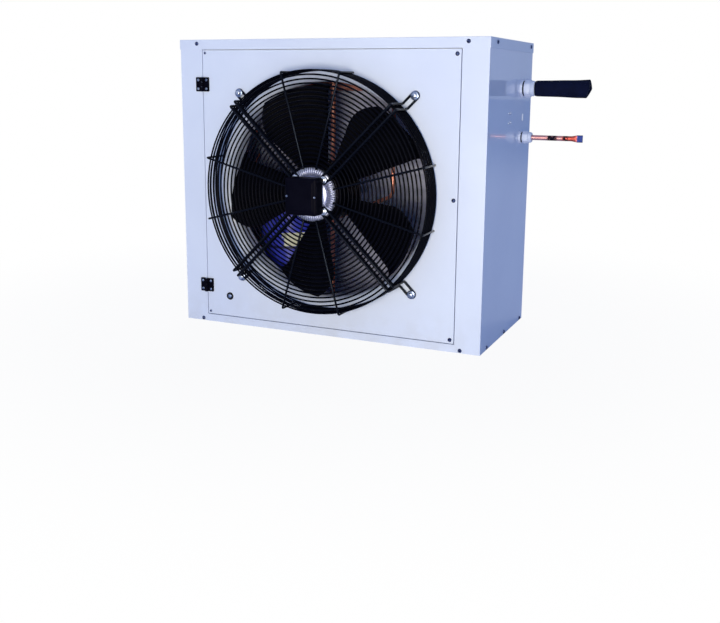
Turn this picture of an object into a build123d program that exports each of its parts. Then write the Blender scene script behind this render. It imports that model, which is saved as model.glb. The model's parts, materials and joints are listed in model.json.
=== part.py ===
from build123d import *
from math import cos, radians, sin
import os

# Refrigeration condensing unit: a sheet-steel casing whose front is a hinged door that carries the
# axial fan and its wire guard, with the compressor, receiver, coil and pipework inside.
# Frame: millimetres, +X to the right, +Y to the rear, +Z up, origin on the floor under the middle.

os.makedirs("parts", exist_ok=True)

UP = (Align.CENTER, Align.CENTER, Align.MIN)
DOWN = (Align.CENTER, Align.CENTER, Align.MAX)

# ---------------------------------------------------------------- driving dimensions: casing
width = 784.0
depth = 380.0
height = 700.0
sheet = 1.5
roof_skirt = 23.5
sill = 18.0
base_lip = 15.0
rear_flange = 50.0
jamb_depth = 18.0
stop_width = 18.0
post_return = 28.0

# door
door_width = 655.0
door_head_strip = 23.0
door_gap = 2.0
door_return = 13.0
seal_clearance = 0.3
seal_width = 5.5
plug_x = -263.0
plug_z = 71.0
plug_r = 8.3
plug_stem_r = 6.6
plug_fit = 0.2

# fasteners
screw_head_r = 4.7
screw_head_h = 3.0
screw_r = 2.1
screw_hole_r = 2.4
screw_length = 9.0
door_screw_r = 2.4
door_screw_hole_r = 2.7
door_screw_swing_r = 5.0
door_screw_tail = 4.0
door_screw_inset = 9.0
door_screw_ends = (8.5, 10.5)
door_rivet_inset = 6.5
roof_screw_drop = 9.5
base_screw_z = 6.0
front_screw_inset = 47.5
side_screw_front = 51.5
side_screw_back = 25.5
rear_screw_inset = 10.0
rivet_head_r = 3.2
rivet_r = 1.6
rivet_fit = 0.1
mount_hole_r = 5.5
mount_x = 340.0
mount_y = 150.0

# fan, nozzle and guard
fan_rise = 2.5
nozzle_throat_r = 254.0
nozzle_flare = 19.0
nozzle_length = 48.0
tip_clearance = 5.0
ring_wire_r = 2.0
spoke_wire_r = 2.5
arm_wire_r = 3.0
wire_gap = 0.05
guard_depth = 69.0
guard_rim_r = 279.0
first_ring_r = 66.0
front_ring_count = 22
side_ring_count = 6
side_ring_pitch = 11.0
spoke_bend = 5.0
spoke_offset = 15.0
arm_spread = 8.0
lug_square = 224.5
lug_bolt_r = 2.9
lug_hole_r = 3.1
lug_washer_r = 10.0
lug_washer_h = 1.6
lug_head_r = 5.0
lug_head_h = 4.0
lug_bolt_tail = 6.0

# fan motor
motor_bolt_square = 35.5
motor_bolt_r = 2.9
motor_flange_r = 55.0
motor_flange_t = 14.0
stator_core_r = 54.0
stator_length = 112.0
stator_fin_count = 40
air_gap = 3.0
rotor_r = 66.0
rotor_wall = 4.0
rotor_back = -58.0
shaft_r = 8.0
shaft_fit = 0.05
blade_count = 5
blade_t = 2.6
blade_middle = -20.0
blade_root_chord = 96.0
blade_mid_chord = 168.0
blade_tip_chord = 158.0
blade_root_pitch = 38.0
blade_mid_pitch = 28.0
blade_tip_pitch = 22.0
blade_sweep = 26.0
hub_sleeve = 3.0
sleeve_fit = 0.05
first_blade = 35.0
terminal_width = 78.0
terminal_height = 84.0
terminal_depth = 27.0
terminal_cover_t = 6.0
terminal_shift = -2.0
terminal_neck_r = 22.0
terminal_neck = 6.5
terminal_wall = 2.5
terminal_corner = 5.0

# hinges
hinge_width = 36.0
hinge_height = 34.0
hinge_low = 75.0
hinge_high = 81.0
knuckle_r = 5.0
knuckle_clear = 0.6
knuckle_gap = 0.4
leaf_t = 4.5
leaf_corner = 2.0
pin_r = 2.0
pin_fit = 0.05
pin_overhang = 1.0

# coil
coil_side_gap = 47.0
coil_front = 110.0
coil_back = 175.0
end_plate_t = 2.0
end_plate_lip = 30.0
fin_pitch = 8.0
fin_t = 1.0
coil_web = 16.0
coil_low = 12.0
coil_top_gap = 8.5
coil_tube_r = 4.75
coil_tube_pitch = 38.0
first_tube_z = 40.0
row_front_y = 126.0
row_back_y = 158.0
bend_leg = 4.0

# compressor
comp_x = -183.0
comp_y = -5.0
comp_r = 80.0
comp_wall = 3.5
comp_bottom = 30.0
comp_seam = 185.0
comp_overlap = 26.0
comp_top = 325.0
shell_fit = 0.05
foot_t = 4.0
foot_span = 68.0
grommet_r = 15.0
foot_bolt_r = 4.0
foot_bolt_fit = 0.3
core_r = 64.0

# receiver
receiver_r = 38.0
receiver_wall = 2.5
receiver_left = 60.0
receiver_right = 305.0
receiver_y = -40.0
receiver_z = 47.0
saddle_t = 3.0
saddle_width = 30.0
seat_gap = 0.1
saddle_inset = 45.0

# pipes
line_r = 6.0
line_wall = 1.0
line_bend = 20.0
suction_r = 11.0
suction_wall = 1.0
suction_bend = 22.0
pipe_y = 88.5
suction_drop = 109.0
liquid_drop = 116.0
gas_line_r = 4.75
riser_x = -48.0
socket_t = 2.0
socket_depth = 12.0
pipe_fit = 0.05
suction_stub_reach = 150.0
insulation_t = 8.0
insulation_flare = 3.0
insulation_reach = 164.0
insulation_slant = 0.13
liquid_stub_reach = 126.0
pinch_length = 14.0
pinch_flat = 12.0
pinch_height = 17.0
pinch_t = 3.2

# glands
suction_gland_af = 38.5
suction_gland_reach = 35.0
liquid_gland_af = 27.0
liquid_gland_reach = 31.0
gland_hex_share = 0.34
locknut_t = 5.0
thread_share = 0.42
thread_fit = 0.3
seal_t = 8.0

# drier, sight glass, valve
drier_r = 25.0
drier_low = 215.0
drier_length = 120.0
line_x = 262.0
glass_r = 13.0
glass_length = 34.0
valve_width = 26.0
valve_height = 24.0

# electrics
box_depth = 62.0
box_low = 130.0
box_high = 330.0
box_front = -95.0
box_back = 40.0
box_wall = 2.0
switch_y = -6.5
switch_drop = 67.7
switch_rivet_span = 21.4
slot_y = 113.0
slot_drop = 69.0
slot_length = 15.0
slot_width = 6.0
slot_fit = 0.1
slot_lip = 1.2
bracket_t = 2.0

# ---------------------------------------------------------------- derived places
body_x = width / 2 - sheet
body_y = depth / 2 - sheet
inner_x = body_x - sheet
inner_y = body_y - sheet
body_top = height - sheet
skirt_low = height - roof_skirt
jamb_x = door_width / 2 + door_gap
door_low = sill + door_gap
door_high = height - door_head_strip - door_gap
door_height = door_high - door_low
jamb_high = door_high + door_gap
jamb_mid_z = (sill + jamb_high) / 2
jamb_height = jamb_high - sill
door_mid_z = (door_low + door_high) / 2
fan_z = door_mid_z + fan_rise
hinge_centres = (door_low + hinge_low, door_high - hinge_high)
suction_z = height - suction_drop
liquid_z = suction_z - liquid_drop
switch_z = suction_z - switch_drop
slot_z = suction_z - slot_drop
front_y = -body_y
fan_plane = Plane(origin=(0, front_y, fan_z), x_dir=(1, 0, 0), z_dir=(0, -1, 0))


def facing(points, outward):
    """Places on a face: each with its own Z along the outward normal."""
    return [Plane(origin=point, z_dir=outward) for point in points]


def tube(points, radius, wall, bend):
    """A bent tube along straight runs joined by arcs of one bend radius, open at both ends."""
    with BuildPart() as bent:
        with BuildLine() as route:
            if len(points) > 2:
                FilletPolyline(*points, radius=bend)
            else:
                Line(*points)
        with BuildSketch(Plane(origin=route.line @ 0, z_dir=route.line % 0)):
            Circle(radius)
            Circle(radius - wall, mode=Mode.SUBTRACT)
        sweep()
    return bent


def headed_pin(head_r, head_h, shank_r, length):
    """A fastener on +Z: a low domed head above the seat and a plain shank below it."""
    with BuildPart() as pin:
        with BuildSketch(Plane.XZ):
            with BuildLine():
                Polyline((0, head_h), (head_r * 0.45, head_h))
                RadiusArc((head_r * 0.45, head_h), (head_r, head_h * 0.3), head_r)
                Polyline((head_r, head_h * 0.3), (head_r, 0), (shank_r, 0), (shank_r, -length))
                Polyline((shank_r, -length), (0, -length), (0, head_h))
            make_face()
        revolve(axis=Axis.Z)
    return pin.part


# ---------------------------------------------------------------- places of the casing screws
screw_x = width / 2 - front_screw_inset - sheet
rear_screw_x = inner_x - rear_screw_inset
roof_screw_z = height - roof_screw_drop
side_screws_y = (-body_y + side_screw_front, body_y - side_screw_back)
base_side_y = (*side_screws_y, sum(side_screws_y) / 2)


def ring_of_screws(x_face, y_face, z, side_y):
    """Screw places round the casing at one height: two in front, two behind, the rest on the sides."""
    fronts = facing([(s * screw_x, -y_face, z) for s in (-1, 1)], (0, -1, 0))
    backs = facing([(s * rear_screw_x, y_face, z) for s in (-1, 1)], (0, 1, 0))
    lefts = facing([(-x_face, y, z) for y in side_y], (-1, 0, 0))
    rights = facing([(x_face, y, z) for y in side_y], (1, 0, 0))
    return fronts + backs + lefts + rights


roof_screw_places = ring_of_screws(width / 2, depth / 2, roof_screw_z, side_screws_y)
base_screw_places = ring_of_screws(body_x, body_y, base_screw_z, base_side_y)
screw_places = roof_screw_places + base_screw_places
pan_screw = headed_pin(screw_head_r, screw_head_h, screw_r, screw_length)

door_screw_x = door_width / 2 - door_screw_inset
door_screw_z = (door_low + door_screw_ends[0], door_mid_z, door_high - door_screw_ends[1])
door_screw_places = facing([(door_screw_x, front_y, z) for z in door_screw_z], (0, -1, 0))
door_rivet_x = -door_width / 2 + door_rivet_inset
door_rivet_z = (door_low + door_rivet_inset, door_high - door_rivet_inset)
door_rivet_places = facing([(door_rivet_x, front_y, z) for z in door_rivet_z], (0, -1, 0))
lug_places = [(sx * lug_square, sz * lug_square) for sx in (-1, 1) for sz in (-1, 1)]

mount_places = [(sx * mount_x, sy * mount_y, 0) for sx in (-1, 1) for sy in (-1, 1)]
comp_feet = [(comp_x + sx * foot_span, comp_y + sy * foot_span) for sx in (-1, 1) for sy in (-1, 1)]
foot_hole_r = foot_bolt_r + foot_bolt_fit

switch_rivet_z = (switch_z - switch_rivet_span / 2, switch_z + switch_rivet_span / 2)
panel_rivet_places = facing([(body_x, switch_y, z) for z in switch_rivet_z], (1, 0, 0))
suction_gland_place = Plane(origin=(body_x, pipe_y, suction_z), x_dir=(0, 1, 0), z_dir=(1, 0, 0))
slot_place = Plane(origin=(body_x, slot_y, slot_z), x_dir=(0, 0, 1), z_dir=(1, 0, 0))
liquid_gland_place = Plane(origin=(body_x, pipe_y, liquid_z), x_dir=(0, 1, 0), z_dir=(1, 0, 0))

# ---------------------------------------------------------------- base pan
with BuildPart() as base_pan:
    with BuildSketch():
        Rectangle(2 * inner_x, 2 * inner_y)
    extrude(amount=base_lip)
    offset(amount=-sheet, openings=base_pan.faces().sort_by(Axis.Z)[-1])
    with Locations(*screw_places):
        Hole(screw_hole_r, depth=screw_length)
    with Locations(*mount_places):
        Cylinder(mount_hole_r, sheet, align=UP, mode=Mode.SUBTRACT)
    with Locations(*[(x, y, 0) for x, y in comp_feet]):
        Cylinder(foot_hole_r, sheet, align=UP, mode=Mode.SUBTRACT)
base_pan.part.label = "base_pan"

# ---------------------------------------------------------------- front frame
stop_front_y = -inner_y + jamb_depth
with BuildPart() as front_frame:
    with BuildSketch(Plane.XZ.offset(inner_y)):
        with Locations((0, body_top / 2)):
            Rectangle(2 * inner_x, body_top)
        with Locations((0, jamb_mid_z)):
            Rectangle(2 * jamb_x, jamb_height, mode=Mode.SUBTRACT)
    extrude(amount=sheet)
    # the jamb lines the doorway, and the stop turns inward behind the door
    with BuildSketch(Plane.XZ.offset(inner_y)):
        with Locations((0, jamb_mid_z)):
            Rectangle(2 * (jamb_x + sheet), jamb_height + 2 * sheet)
            Rectangle(2 * jamb_x, jamb_height, mode=Mode.SUBTRACT)
    extrude(amount=-jamb_depth)
    with BuildSketch(Plane.XZ.offset(-stop_front_y)):
        with Locations((0, jamb_mid_z)):
            Rectangle(2 * (jamb_x + sheet), jamb_height + 2 * sheet)
            RectangleRounded(
                2 * (jamb_x - stop_width), jamb_height - 2 * stop_width, stop_width / 3, mode=Mode.SUBTRACT
            )
    extrude(amount=-sheet)
    # the outer returns lie against the side panels, above the lip of the base pan
    with BuildSketch(Plane.XY.offset(base_lip)):
        for side in (-1, 1):
            with Locations((side * (inner_x - sheet / 2), -inner_y + post_return / 2)):
                Rectangle(sheet, post_return)
    extrude(amount=body_top - base_lip)
    with Locations(*screw_places):
        Hole(screw_hole_r, depth=screw_length)
    with Locations(*door_screw_places):
        Hole(door_screw_swing_r, depth=jamb_depth + 3 * sheet)
front_frame.part.label = "front_frame"

# ---------------------------------------------------------------- side panels
gland_thread_r = {"suction": thread_share * suction_gland_af, "liquid": thread_share * liquid_gland_af}
with BuildPart() as right_side_panel:
    with BuildSketch():
        with BuildLine():
            Polyline(
                (body_x, -body_y), (body_x, body_y), (inner_x - rear_flange, body_y),
                (inner_x - rear_flange, inner_y), (inner_x, inner_y), (inner_x, -body_y), close=True,
            )
        make_face()
    extrude(amount=body_top)
    with Locations(*screw_places):
        Hole(screw_hole_r, depth=screw_length)
    with Locations(suction_gland_place):
        Hole(gland_thread_r["suction"] + thread_fit, depth=2 * sheet)
    with Locations(liquid_gland_place):
        Hole(gland_thread_r["liquid"] + thread_fit, depth=2 * sheet)
    with Locations(*panel_rivet_places):
        Hole(rivet_r + rivet_fit, depth=2 * sheet)
    with BuildSketch(slot_place):
        SlotOverall(slot_length + 2 * slot_fit, slot_width + 2 * slot_fit)
    extrude(amount=-2 * sheet, mode=Mode.SUBTRACT)
right_side_panel.part.label = "right_side_panel"

with BuildPart() as left_side_panel:
    with BuildSketch():
        with BuildLine():
            Polyline(
                (-body_x, -body_y), (-body_x, body_y), (rear_flange - inner_x, body_y),
                (rear_flange - inner_x, inner_y), (-inner_x, inner_y), (-inner_x, -body_y), close=True,
            )
        make_face()
    extrude(amount=body_top)
    with Locations(*screw_places):
        Hole(screw_hole_r, depth=screw_length)
left_side_panel.part.label = "left_side_panel"

# ---------------------------------------------------------------- roof
with BuildPart() as roof_panel:
    with BuildSketch(Plane.XY.offset(skirt_low)):
        Rectangle(width, depth)
    extrude(amount=roof_skirt)
    roof_corners = roof_panel.edges().filter_by(Axis.Z) + roof_panel.edges().group_by(Axis.Z)[-1]
    fillet(roof_corners, sheet * 0.8)
    with BuildSketch(Plane.XY.offset(skirt_low)):
        Rectangle(2 * body_x, 2 * body_y)
    extrude(amount=roof_skirt - sheet, mode=Mode.SUBTRACT)
    with Locations(*screw_places):
        Hole(screw_hole_r, depth=screw_length)
roof_panel.part.label = "roof_panel"

with BuildPart() as roof_screws:
    with Locations(*roof_screw_places):
        add(pan_screw)
roof_screws.part.label = "roof_screws"

with BuildPart() as base_screws:
    with Locations(*base_screw_places):
        add(pan_screw)
base_screws.part.label = "base_screws"

# ---------------------------------------------------------------- door: skin, returns and nozzle
fan_profile = Plane(origin=(0, front_y, fan_z), x_dir=(1, 0, 0), z_dir=(0, 0, -1))
fan_axis = Axis((0, front_y, fan_z), (0, -1, 0))
nozzle_mouth_r = nozzle_throat_r + nozzle_flare
with BuildPart() as door_panel:
    with BuildSketch(Plane.XZ.offset(body_y)):
        with Locations((0, door_mid_z)):
            Rectangle(door_width, door_height)
    extrude(amount=-(sheet + door_return))
    with BuildSketch(Plane.XZ.offset(inner_y)):
        with Locations((0, door_mid_z)):
            Rectangle(door_width - 2 * sheet, door_height - 2 * sheet)
    extrude(amount=-door_return, mode=Mode.SUBTRACT)
    fillet(door_panel.edges().filter_by(Axis.Y).group_by(SortBy.DISTANCE)[-1], sheet * 0.6)
    with BuildSketch(fan_plane):
        Circle(nozzle_mouth_r)
    extrude(amount=-sheet, mode=Mode.SUBTRACT)
    # the nozzle is drawn inward from the skin: a quarter-round flare, then a straight throat
    with BuildSketch(fan_profile):
        with BuildLine():
            RadiusArc((nozzle_mouth_r, 0), (nozzle_throat_r, -nozzle_flare), -nozzle_flare)
            Polyline(
                (nozzle_throat_r, -nozzle_flare), (nozzle_throat_r, -nozzle_length),
                (nozzle_throat_r + sheet, -nozzle_length), (nozzle_throat_r + sheet, -nozzle_flare),
            )
            outer_throat = (nozzle_throat_r + sheet, -nozzle_flare)
            RadiusArc(outer_throat, (nozzle_mouth_r, -sheet), nozzle_flare - sheet)
            Line((nozzle_mouth_r, -sheet), (nozzle_mouth_r, 0))
        make_face()
    revolve(axis=fan_axis)
    with Locations(fan_plane):
        with Locations(*lug_places):
            Hole(lug_hole_r, depth=2 * sheet)
    with Locations(*door_screw_places):
        Hole(door_screw_hole_r, depth=2 * sheet)
    with Locations(*door_rivet_places):
        Hole(rivet_r + rivet_fit, depth=2 * sheet)
    with Locations(*facing([(plug_x, front_y, plug_z)], (0, -1, 0))):
        Hole(plug_stem_r + plug_fit, depth=2 * sheet)
door_panel.part.label = "door_panel"

door_return_back = front_y + sheet + door_return
seal_t = stop_front_y - door_return_back - seal_clearance
with BuildPart() as door_seal:
    with BuildSketch(Plane.XZ.offset(-stop_front_y)):
        with Locations((0, jamb_mid_z)):
            RectangleRounded(2 * (jamb_x - seal_clearance), jamb_height - 2 * seal_clearance, 2)
            RectangleRounded(2 * (jamb_x - seal_width), jamb_height - 2 * seal_width, 2, mode=Mode.SUBTRACT)
    extrude(amount=seal_t)
door_seal.part.label = "door_seal"

door_screw_length = 3 * sheet + jamb_depth + door_screw_tail
door_screw = headed_pin(screw_head_r, screw_head_h, door_screw_r, door_screw_length)
with BuildPart() as door_screws:
    with Locations(*door_screw_places):
        add(door_screw)
door_screws.part.label = "door_screws"

rivet = headed_pin(rivet_head_r, rivet_head_r / 2, rivet_r, 2 * sheet)
with BuildPart() as door_rivets:
    with Locations(*door_rivet_places):
        add(rivet)
door_rivets.part.label = "door_rivets"

blind = headed_pin(plug_r, plug_r / 2, plug_stem_r, 3 * sheet)
with BuildPart() as blind_plug:
    with Locations(*facing([(plug_x, front_y, plug_z)], (0, -1, 0))):
        add(blind)
blind_plug.part.label = "blind_plug"

# ---------------------------------------------------------------- hinges
pin_x = -(door_width + door_gap) / 2
pin_y = front_y - knuckle_r - knuckle_clear
hinge_left = pin_x - hinge_width / 2
hinge_right = pin_x + hinge_width / 2
leaf_start = knuckle_r + knuckle_gap
knuckle_h = (hinge_height - 2 * knuckle_gap) / 3


def leaf(outer_x, side, centre_z, knuckle_places):
    """One hinge leaf: a plate on the sheet, with knuckles reaching to the pin and a bore through them."""
    with BuildPart() as half:
        plate_x = pin_x + side * leaf_start
        with BuildSketch(Plane.XZ.offset(-front_y)):
            with Locations(((outer_x + plate_x) / 2, centre_z)):
                Rectangle(abs(outer_x - plate_x), hinge_height)
        extrude(amount=leaf_t)
        outer_edges = half.edges().filter_by(Axis.Z).group_by(Axis.Y)[0].sort_by(Axis.X)
        fillet(outer_edges[0 if side < 0 else -1], leaf_corner)
        for low in knuckle_places:
            with BuildSketch(Plane.XY.offset(low)):
                with Locations((pin_x, pin_y)):
                    Circle(knuckle_r)
                with Locations((pin_x + side * leaf_start / 2, (front_y + pin_y) / 2)):
                    Rectangle(leaf_start, front_y - pin_y)
            extrude(amount=knuckle_h)
        with Locations((pin_x, pin_y, centre_z)):
            Cylinder(pin_r + pin_fit, 2 * hinge_height, mode=Mode.SUBTRACT)
    return half.part


with BuildPart() as hinge_frame_leaves:
    for centre_z in hinge_centres:
        add(leaf(hinge_left, -1, centre_z, [centre_z - knuckle_h / 2]))
hinge_frame_leaves.part.label = "hinge_frame_leaves"

with BuildPart() as hinge_door_leaves:
    for centre_z in hinge_centres:
        ends = [centre_z - hinge_height / 2, centre_z + hinge_height / 2 - knuckle_h]
        add(leaf(hinge_right, 1, centre_z, ends))
hinge_door_leaves.part.label = "hinge_door_leaves"

with BuildPart() as hinge_pins:
    with Locations(*[(pin_x, pin_y, z) for z in hinge_centres]):
        Cylinder(pin_r, hinge_height + 2 * pin_overhang)
    chamfer(hinge_pins.edges(), pin_r / 4)
hinge_pins.part.label = "hinge_pins"

# ---------------------------------------------------------------- guard: rings
front_ring_pitch = (guard_rim_r - first_ring_r) / front_ring_count
with BuildPart() as guard_front_rings:
    with Locations(fan_plane.offset(guard_depth)):
        for ring in range(front_ring_count):
            Torus(first_ring_r + ring * front_ring_pitch, ring_wire_r)
guard_front_rings.part.label = "guard_front_rings"

side_ring_first = guard_depth - 3 * ring_wire_r
with BuildPart() as guard_side_rings:
    for ring in range(side_ring_count):
        with Locations(fan_plane.offset(side_ring_first - ring * side_ring_pitch)):
            Torus(guard_rim_r, ring_wire_r)
guard_side_rings.part.label = "guard_side_rings"


def at_fan(radius, across, outward):
    """A point by its distance from the fan axis, its offset across that radius, and its height."""
    return (radius, front_y - outward, fan_z + across)


# ---------------------------------------------------------------- guard: spokes
spoke_r = guard_rim_r + ring_wire_r + spoke_wire_r + wire_gap
spoke_w = guard_depth + ring_wire_r + spoke_wire_r + wire_gap
with BuildPart() as spoke:
    with BuildLine() as spoke_route:
        FilletPolyline(
            at_fan(first_ring_r - 2 * ring_wire_r, 0, spoke_w),
            at_fan(spoke_r, 0, spoke_w),
            at_fan(spoke_r, 0, 0),
            radius=spoke_bend,
        )
    with BuildSketch(Plane(origin=spoke_route.line @ 0, z_dir=spoke_route.line % 0)):
        Circle(spoke_wire_r)
    sweep()

spoke_angles = [quarter + side * spoke_offset for quarter in (0, 90, 180, 270) for side in (-1, 1)]
with BuildPart() as guard_spokes:
    for angle in spoke_angles:
        add(spoke.part.rotate(fan_axis, angle))
guard_spokes.part.label = "guard_spokes"

# ---------------------------------------------------------------- guard: arms, closed loops of heavier wire
arm_r = guard_rim_r + ring_wire_r + arm_wire_r + wire_gap
arm_w = guard_depth + ring_wire_r + arm_wire_r + wire_gap
foot_w = arm_wire_r + wire_gap
motor_bolt_circle = motor_bolt_square * 2**0.5
lug_circle = lug_square * 2**0.5
diagonal = cos(radians(45))
turn = spoke_bend
turn_in = turn * (1 - diagonal)
with BuildPart() as arm:
    with BuildLine() as arm_route:
        inner_eye = ThreePointArc(
            at_fan(motor_bolt_circle - arm_spread, 0, arm_w),
            at_fan(motor_bolt_circle - arm_spread * diagonal, arm_spread * diagonal, arm_w),
            at_fan(motor_bolt_circle, arm_spread, arm_w),
        )
        Line(inner_eye @ 1, at_fan(arm_r - turn, arm_spread, arm_w))
        ThreePointArc(
            at_fan(arm_r - turn, arm_spread, arm_w),
            at_fan(arm_r - turn_in, arm_spread, arm_w - turn_in),
            at_fan(arm_r, arm_spread, arm_w - turn),
        )
        Line(at_fan(arm_r, arm_spread, arm_w - turn), at_fan(arm_r, arm_spread, foot_w + turn))
        ThreePointArc(
            at_fan(arm_r, arm_spread, foot_w + turn),
            at_fan(arm_r + turn_in, arm_spread, foot_w + turn_in),
            at_fan(arm_r + turn, arm_spread, foot_w),
        )
        Line(at_fan(arm_r + turn, arm_spread, foot_w), at_fan(lug_circle, arm_spread, foot_w))
        ThreePointArc(
            at_fan(lug_circle, arm_spread, foot_w),
            at_fan(lug_circle + arm_spread * diagonal, arm_spread * diagonal, foot_w),
            at_fan(lug_circle + arm_spread, 0, foot_w),
        )
    with BuildSketch(Plane(origin=arm_route.wires()[0] @ 0, z_dir=(0, 0, 1))):
        Circle(arm_wire_r)
    sweep()
    mirror(about=Plane(origin=(0, 0, fan_z), z_dir=(0, 0, 1)))

arm_angles = [45 + 90 * quarter for quarter in range(4)]
with BuildPart() as guard_arms:
    for angle in arm_angles:
        add(arm.part.rotate(fan_axis, angle))
guard_arms.part.label = "guard_arms"

# ---------------------------------------------------------------- guard: lug bolts and washers
washer_low = foot_w + arm_wire_r + wire_gap
lug_bolt_length = washer_low + lug_washer_h + sheet + lug_bolt_tail
with BuildPart() as guard_washers:
    with BuildSketch(fan_plane.offset(washer_low)):
        with Locations(*lug_places):
            Circle(lug_washer_r)
            Circle(lug_hole_r, mode=Mode.SUBTRACT)
    extrude(amount=lug_washer_h)
guard_washers.part.label = "guard_washers"

with BuildPart() as guard_bolts:
    with BuildSketch(fan_plane.offset(washer_low + lug_washer_h)):
        with Locations(*lug_places):
            RegularPolygon(lug_head_r, 6)
    extrude(amount=lug_head_h)
    with BuildSketch(fan_plane.offset(washer_low + lug_washer_h)):
        with Locations(*lug_places):
            Circle(lug_bolt_r)
    extrude(amount=-lug_bolt_length)
guard_bolts.part.label = "guard_bolts"

# ---------------------------------------------------------------- fan motor: stator with its finned flange
flange_face = arm_w - arm_wire_r - wire_gap
flange_back = flange_face - motor_flange_t
boss_face = flange_face + terminal_neck
motor_bolt_places = [(sx * motor_bolt_square, sz * motor_bolt_square) for sx in (-1, 1) for sz in (-1, 1)]
stator_back = flange_face - stator_length
shaft_end = flange_back - air_gap
with BuildPart() as motor_stator:
    with BuildSketch(fan_plane.offset(flange_back)):
        Circle(motor_flange_r)
    extrude(amount=motor_flange_t)
    with BuildSketch(fan_plane.offset(flange_face)):
        with PolarLocations(motor_flange_r, stator_fin_count):
            Rectangle(motor_flange_r * 0.4, motor_flange_r * 0.05)
    extrude(amount=-motor_flange_t / 2, mode=Mode.SUBTRACT)
    with BuildSketch(fan_plane.offset(flange_back)):
        with Locations(*motor_bolt_places):
            Circle(arm_spread + arm_wire_r)
    extrude(amount=motor_flange_t)
    with BuildSketch(fan_plane.offset(flange_face)):
        Circle(terminal_neck_r)
    extrude(amount=boss_face - flange_face + terminal_neck)
    with BuildSketch(fan_plane.offset(stator_back)):
        Circle(stator_core_r)
    extrude(amount=stator_length - motor_flange_t)
    with BuildSketch(fan_plane.offset(stator_back)):
        Circle(shaft_r + shaft_fit)
    extrude(amount=shaft_end - stator_back + air_gap, mode=Mode.SUBTRACT)
    with Locations(fan_plane.offset(flange_face)):
        with Locations(*motor_bolt_places):
            Hole(motor_bolt_r + shaft_fit, depth=motor_flange_t - air_gap / 2)
motor_stator.part.label = "motor_stator"

motor_bolt_head_r = arm_spread + arm_wire_r / 4
motor_bolt_length = motor_flange_t + 2 * arm_wire_r - air_gap
motor_bolt = headed_pin(motor_bolt_head_r, lug_head_h, motor_bolt_r, motor_bolt_length)
with BuildPart() as motor_bolts:
    with Locations(fan_plane.offset(arm_w + arm_wire_r + wire_gap)):
        with Locations(*motor_bolt_places):
            add(motor_bolt)
motor_bolts.part.label = "motor_bolts"

# ---------------------------------------------------------------- fan motor: terminal box and cover
terminal_back = boss_face + terminal_neck
with BuildPart() as motor_terminal_box:
    with BuildSketch(fan_plane.offset(terminal_back)):
        with Locations((terminal_shift, 0)):
            RectangleRounded(terminal_width, terminal_height, terminal_corner)
    extrude(amount=terminal_depth)
    offset(amount=-terminal_wall, openings=motor_terminal_box.faces().sort_by(Axis.Y)[0])
motor_terminal_box.part.label = "motor_terminal_box"

with BuildPart() as motor_terminal_cover:
    with BuildSketch(fan_plane.offset(terminal_back + terminal_depth)):
        with Locations((terminal_shift, 0)):
            RectangleRounded(terminal_width, terminal_height, terminal_corner)
    extrude(amount=terminal_cover_t)
    fillet(motor_terminal_cover.edges().group_by(Axis.Y)[0], terminal_cover_t / 3)
motor_terminal_cover.part.label = "motor_terminal_cover"

# ---------------------------------------------------------------- rotor cup and shaft
rotor_front = flange_back - air_gap
with BuildPart() as rotor:
    with BuildSketch(fan_plane.offset(rotor_back)):
        Circle(rotor_r)
    extrude(amount=rotor_front - rotor_back)
    fillet(rotor.edges().sort_by(Axis.Y)[-1], rotor_wall * 2)
    with BuildSketch(fan_plane.offset(rotor_back + rotor_wall)):
        Circle(rotor_r - rotor_wall)
    extrude(amount=rotor_front - rotor_back, mode=Mode.SUBTRACT)
    with BuildSketch(fan_plane.offset(rotor_back)):
        Circle(shaft_r)
    extrude(amount=shaft_end - rotor_back)
rotor.part.label = "rotor"

# ---------------------------------------------------------------- impeller
sleeve_in = rotor_r + sleeve_fit
sleeve_out = sleeve_in + hub_sleeve
blade_tip_r = nozzle_throat_r - tip_clearance


def blade_section(radius, chord, pitch, sweep_out):
    """A thin cambered section square to the radius, pitched from the plane of rotation."""
    plane = Plane(origin=at_fan(radius, 0, blade_middle), x_dir=(0, 0, 1), z_dir=(1, 0, 0))
    camber = chord * 0.07
    along = Vector(cos(radians(pitch)), sin(radians(pitch)))
    across = Vector(-along.Y, along.X)
    centre = Vector(sweep_out, 0)
    with BuildSketch(plane) as section:
        with BuildLine():
            bow = [centre - along * chord / 2, centre + across * camber, centre + along * chord / 2]
            front = [point + across * blade_t / 2 for point in bow]
            rear = [point - across * blade_t / 2 for point in bow]
            ThreePointArc(*front)
            ThreePointArc(*rear)
            Line(front[0], rear[0])
            Line(front[2], rear[2])
        make_face()
    return section.sketch


with BuildPart() as blade:
    root_r = (sleeve_in + sleeve_out) / 2 - blade_root_chord / 4
    chords = (blade_root_chord, blade_mid_chord, blade_tip_chord)
    pitches = (blade_root_pitch, blade_mid_pitch, blade_tip_pitch)
    for share, chord, pitch in zip((0, 0.5, 1), chords, pitches):
        radius = root_r + share * (blade_tip_r + blade_t - root_r)
        add(blade_section(radius, chord, pitch, -blade_sweep * share**2))
    loft()
    with BuildSketch(fan_plane.offset(blade_middle - guard_depth)):
        Circle(blade_tip_r)
        Circle((sleeve_in + sleeve_out) / 2, mode=Mode.SUBTRACT)
    extrude(amount=2 * guard_depth, mode=Mode.INTERSECT)

with BuildPart() as impeller:
    with BuildSketch(fan_plane.offset(rotor_back)):
        Circle(sleeve_out)
        Circle(sleeve_in, mode=Mode.SUBTRACT)
    extrude(amount=rotor_front - rotor_back)
    for number in range(blade_count):
        add(blade.part.rotate(fan_axis, first_blade + number * 360 / blade_count))
impeller.part.label = "impeller"

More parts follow.
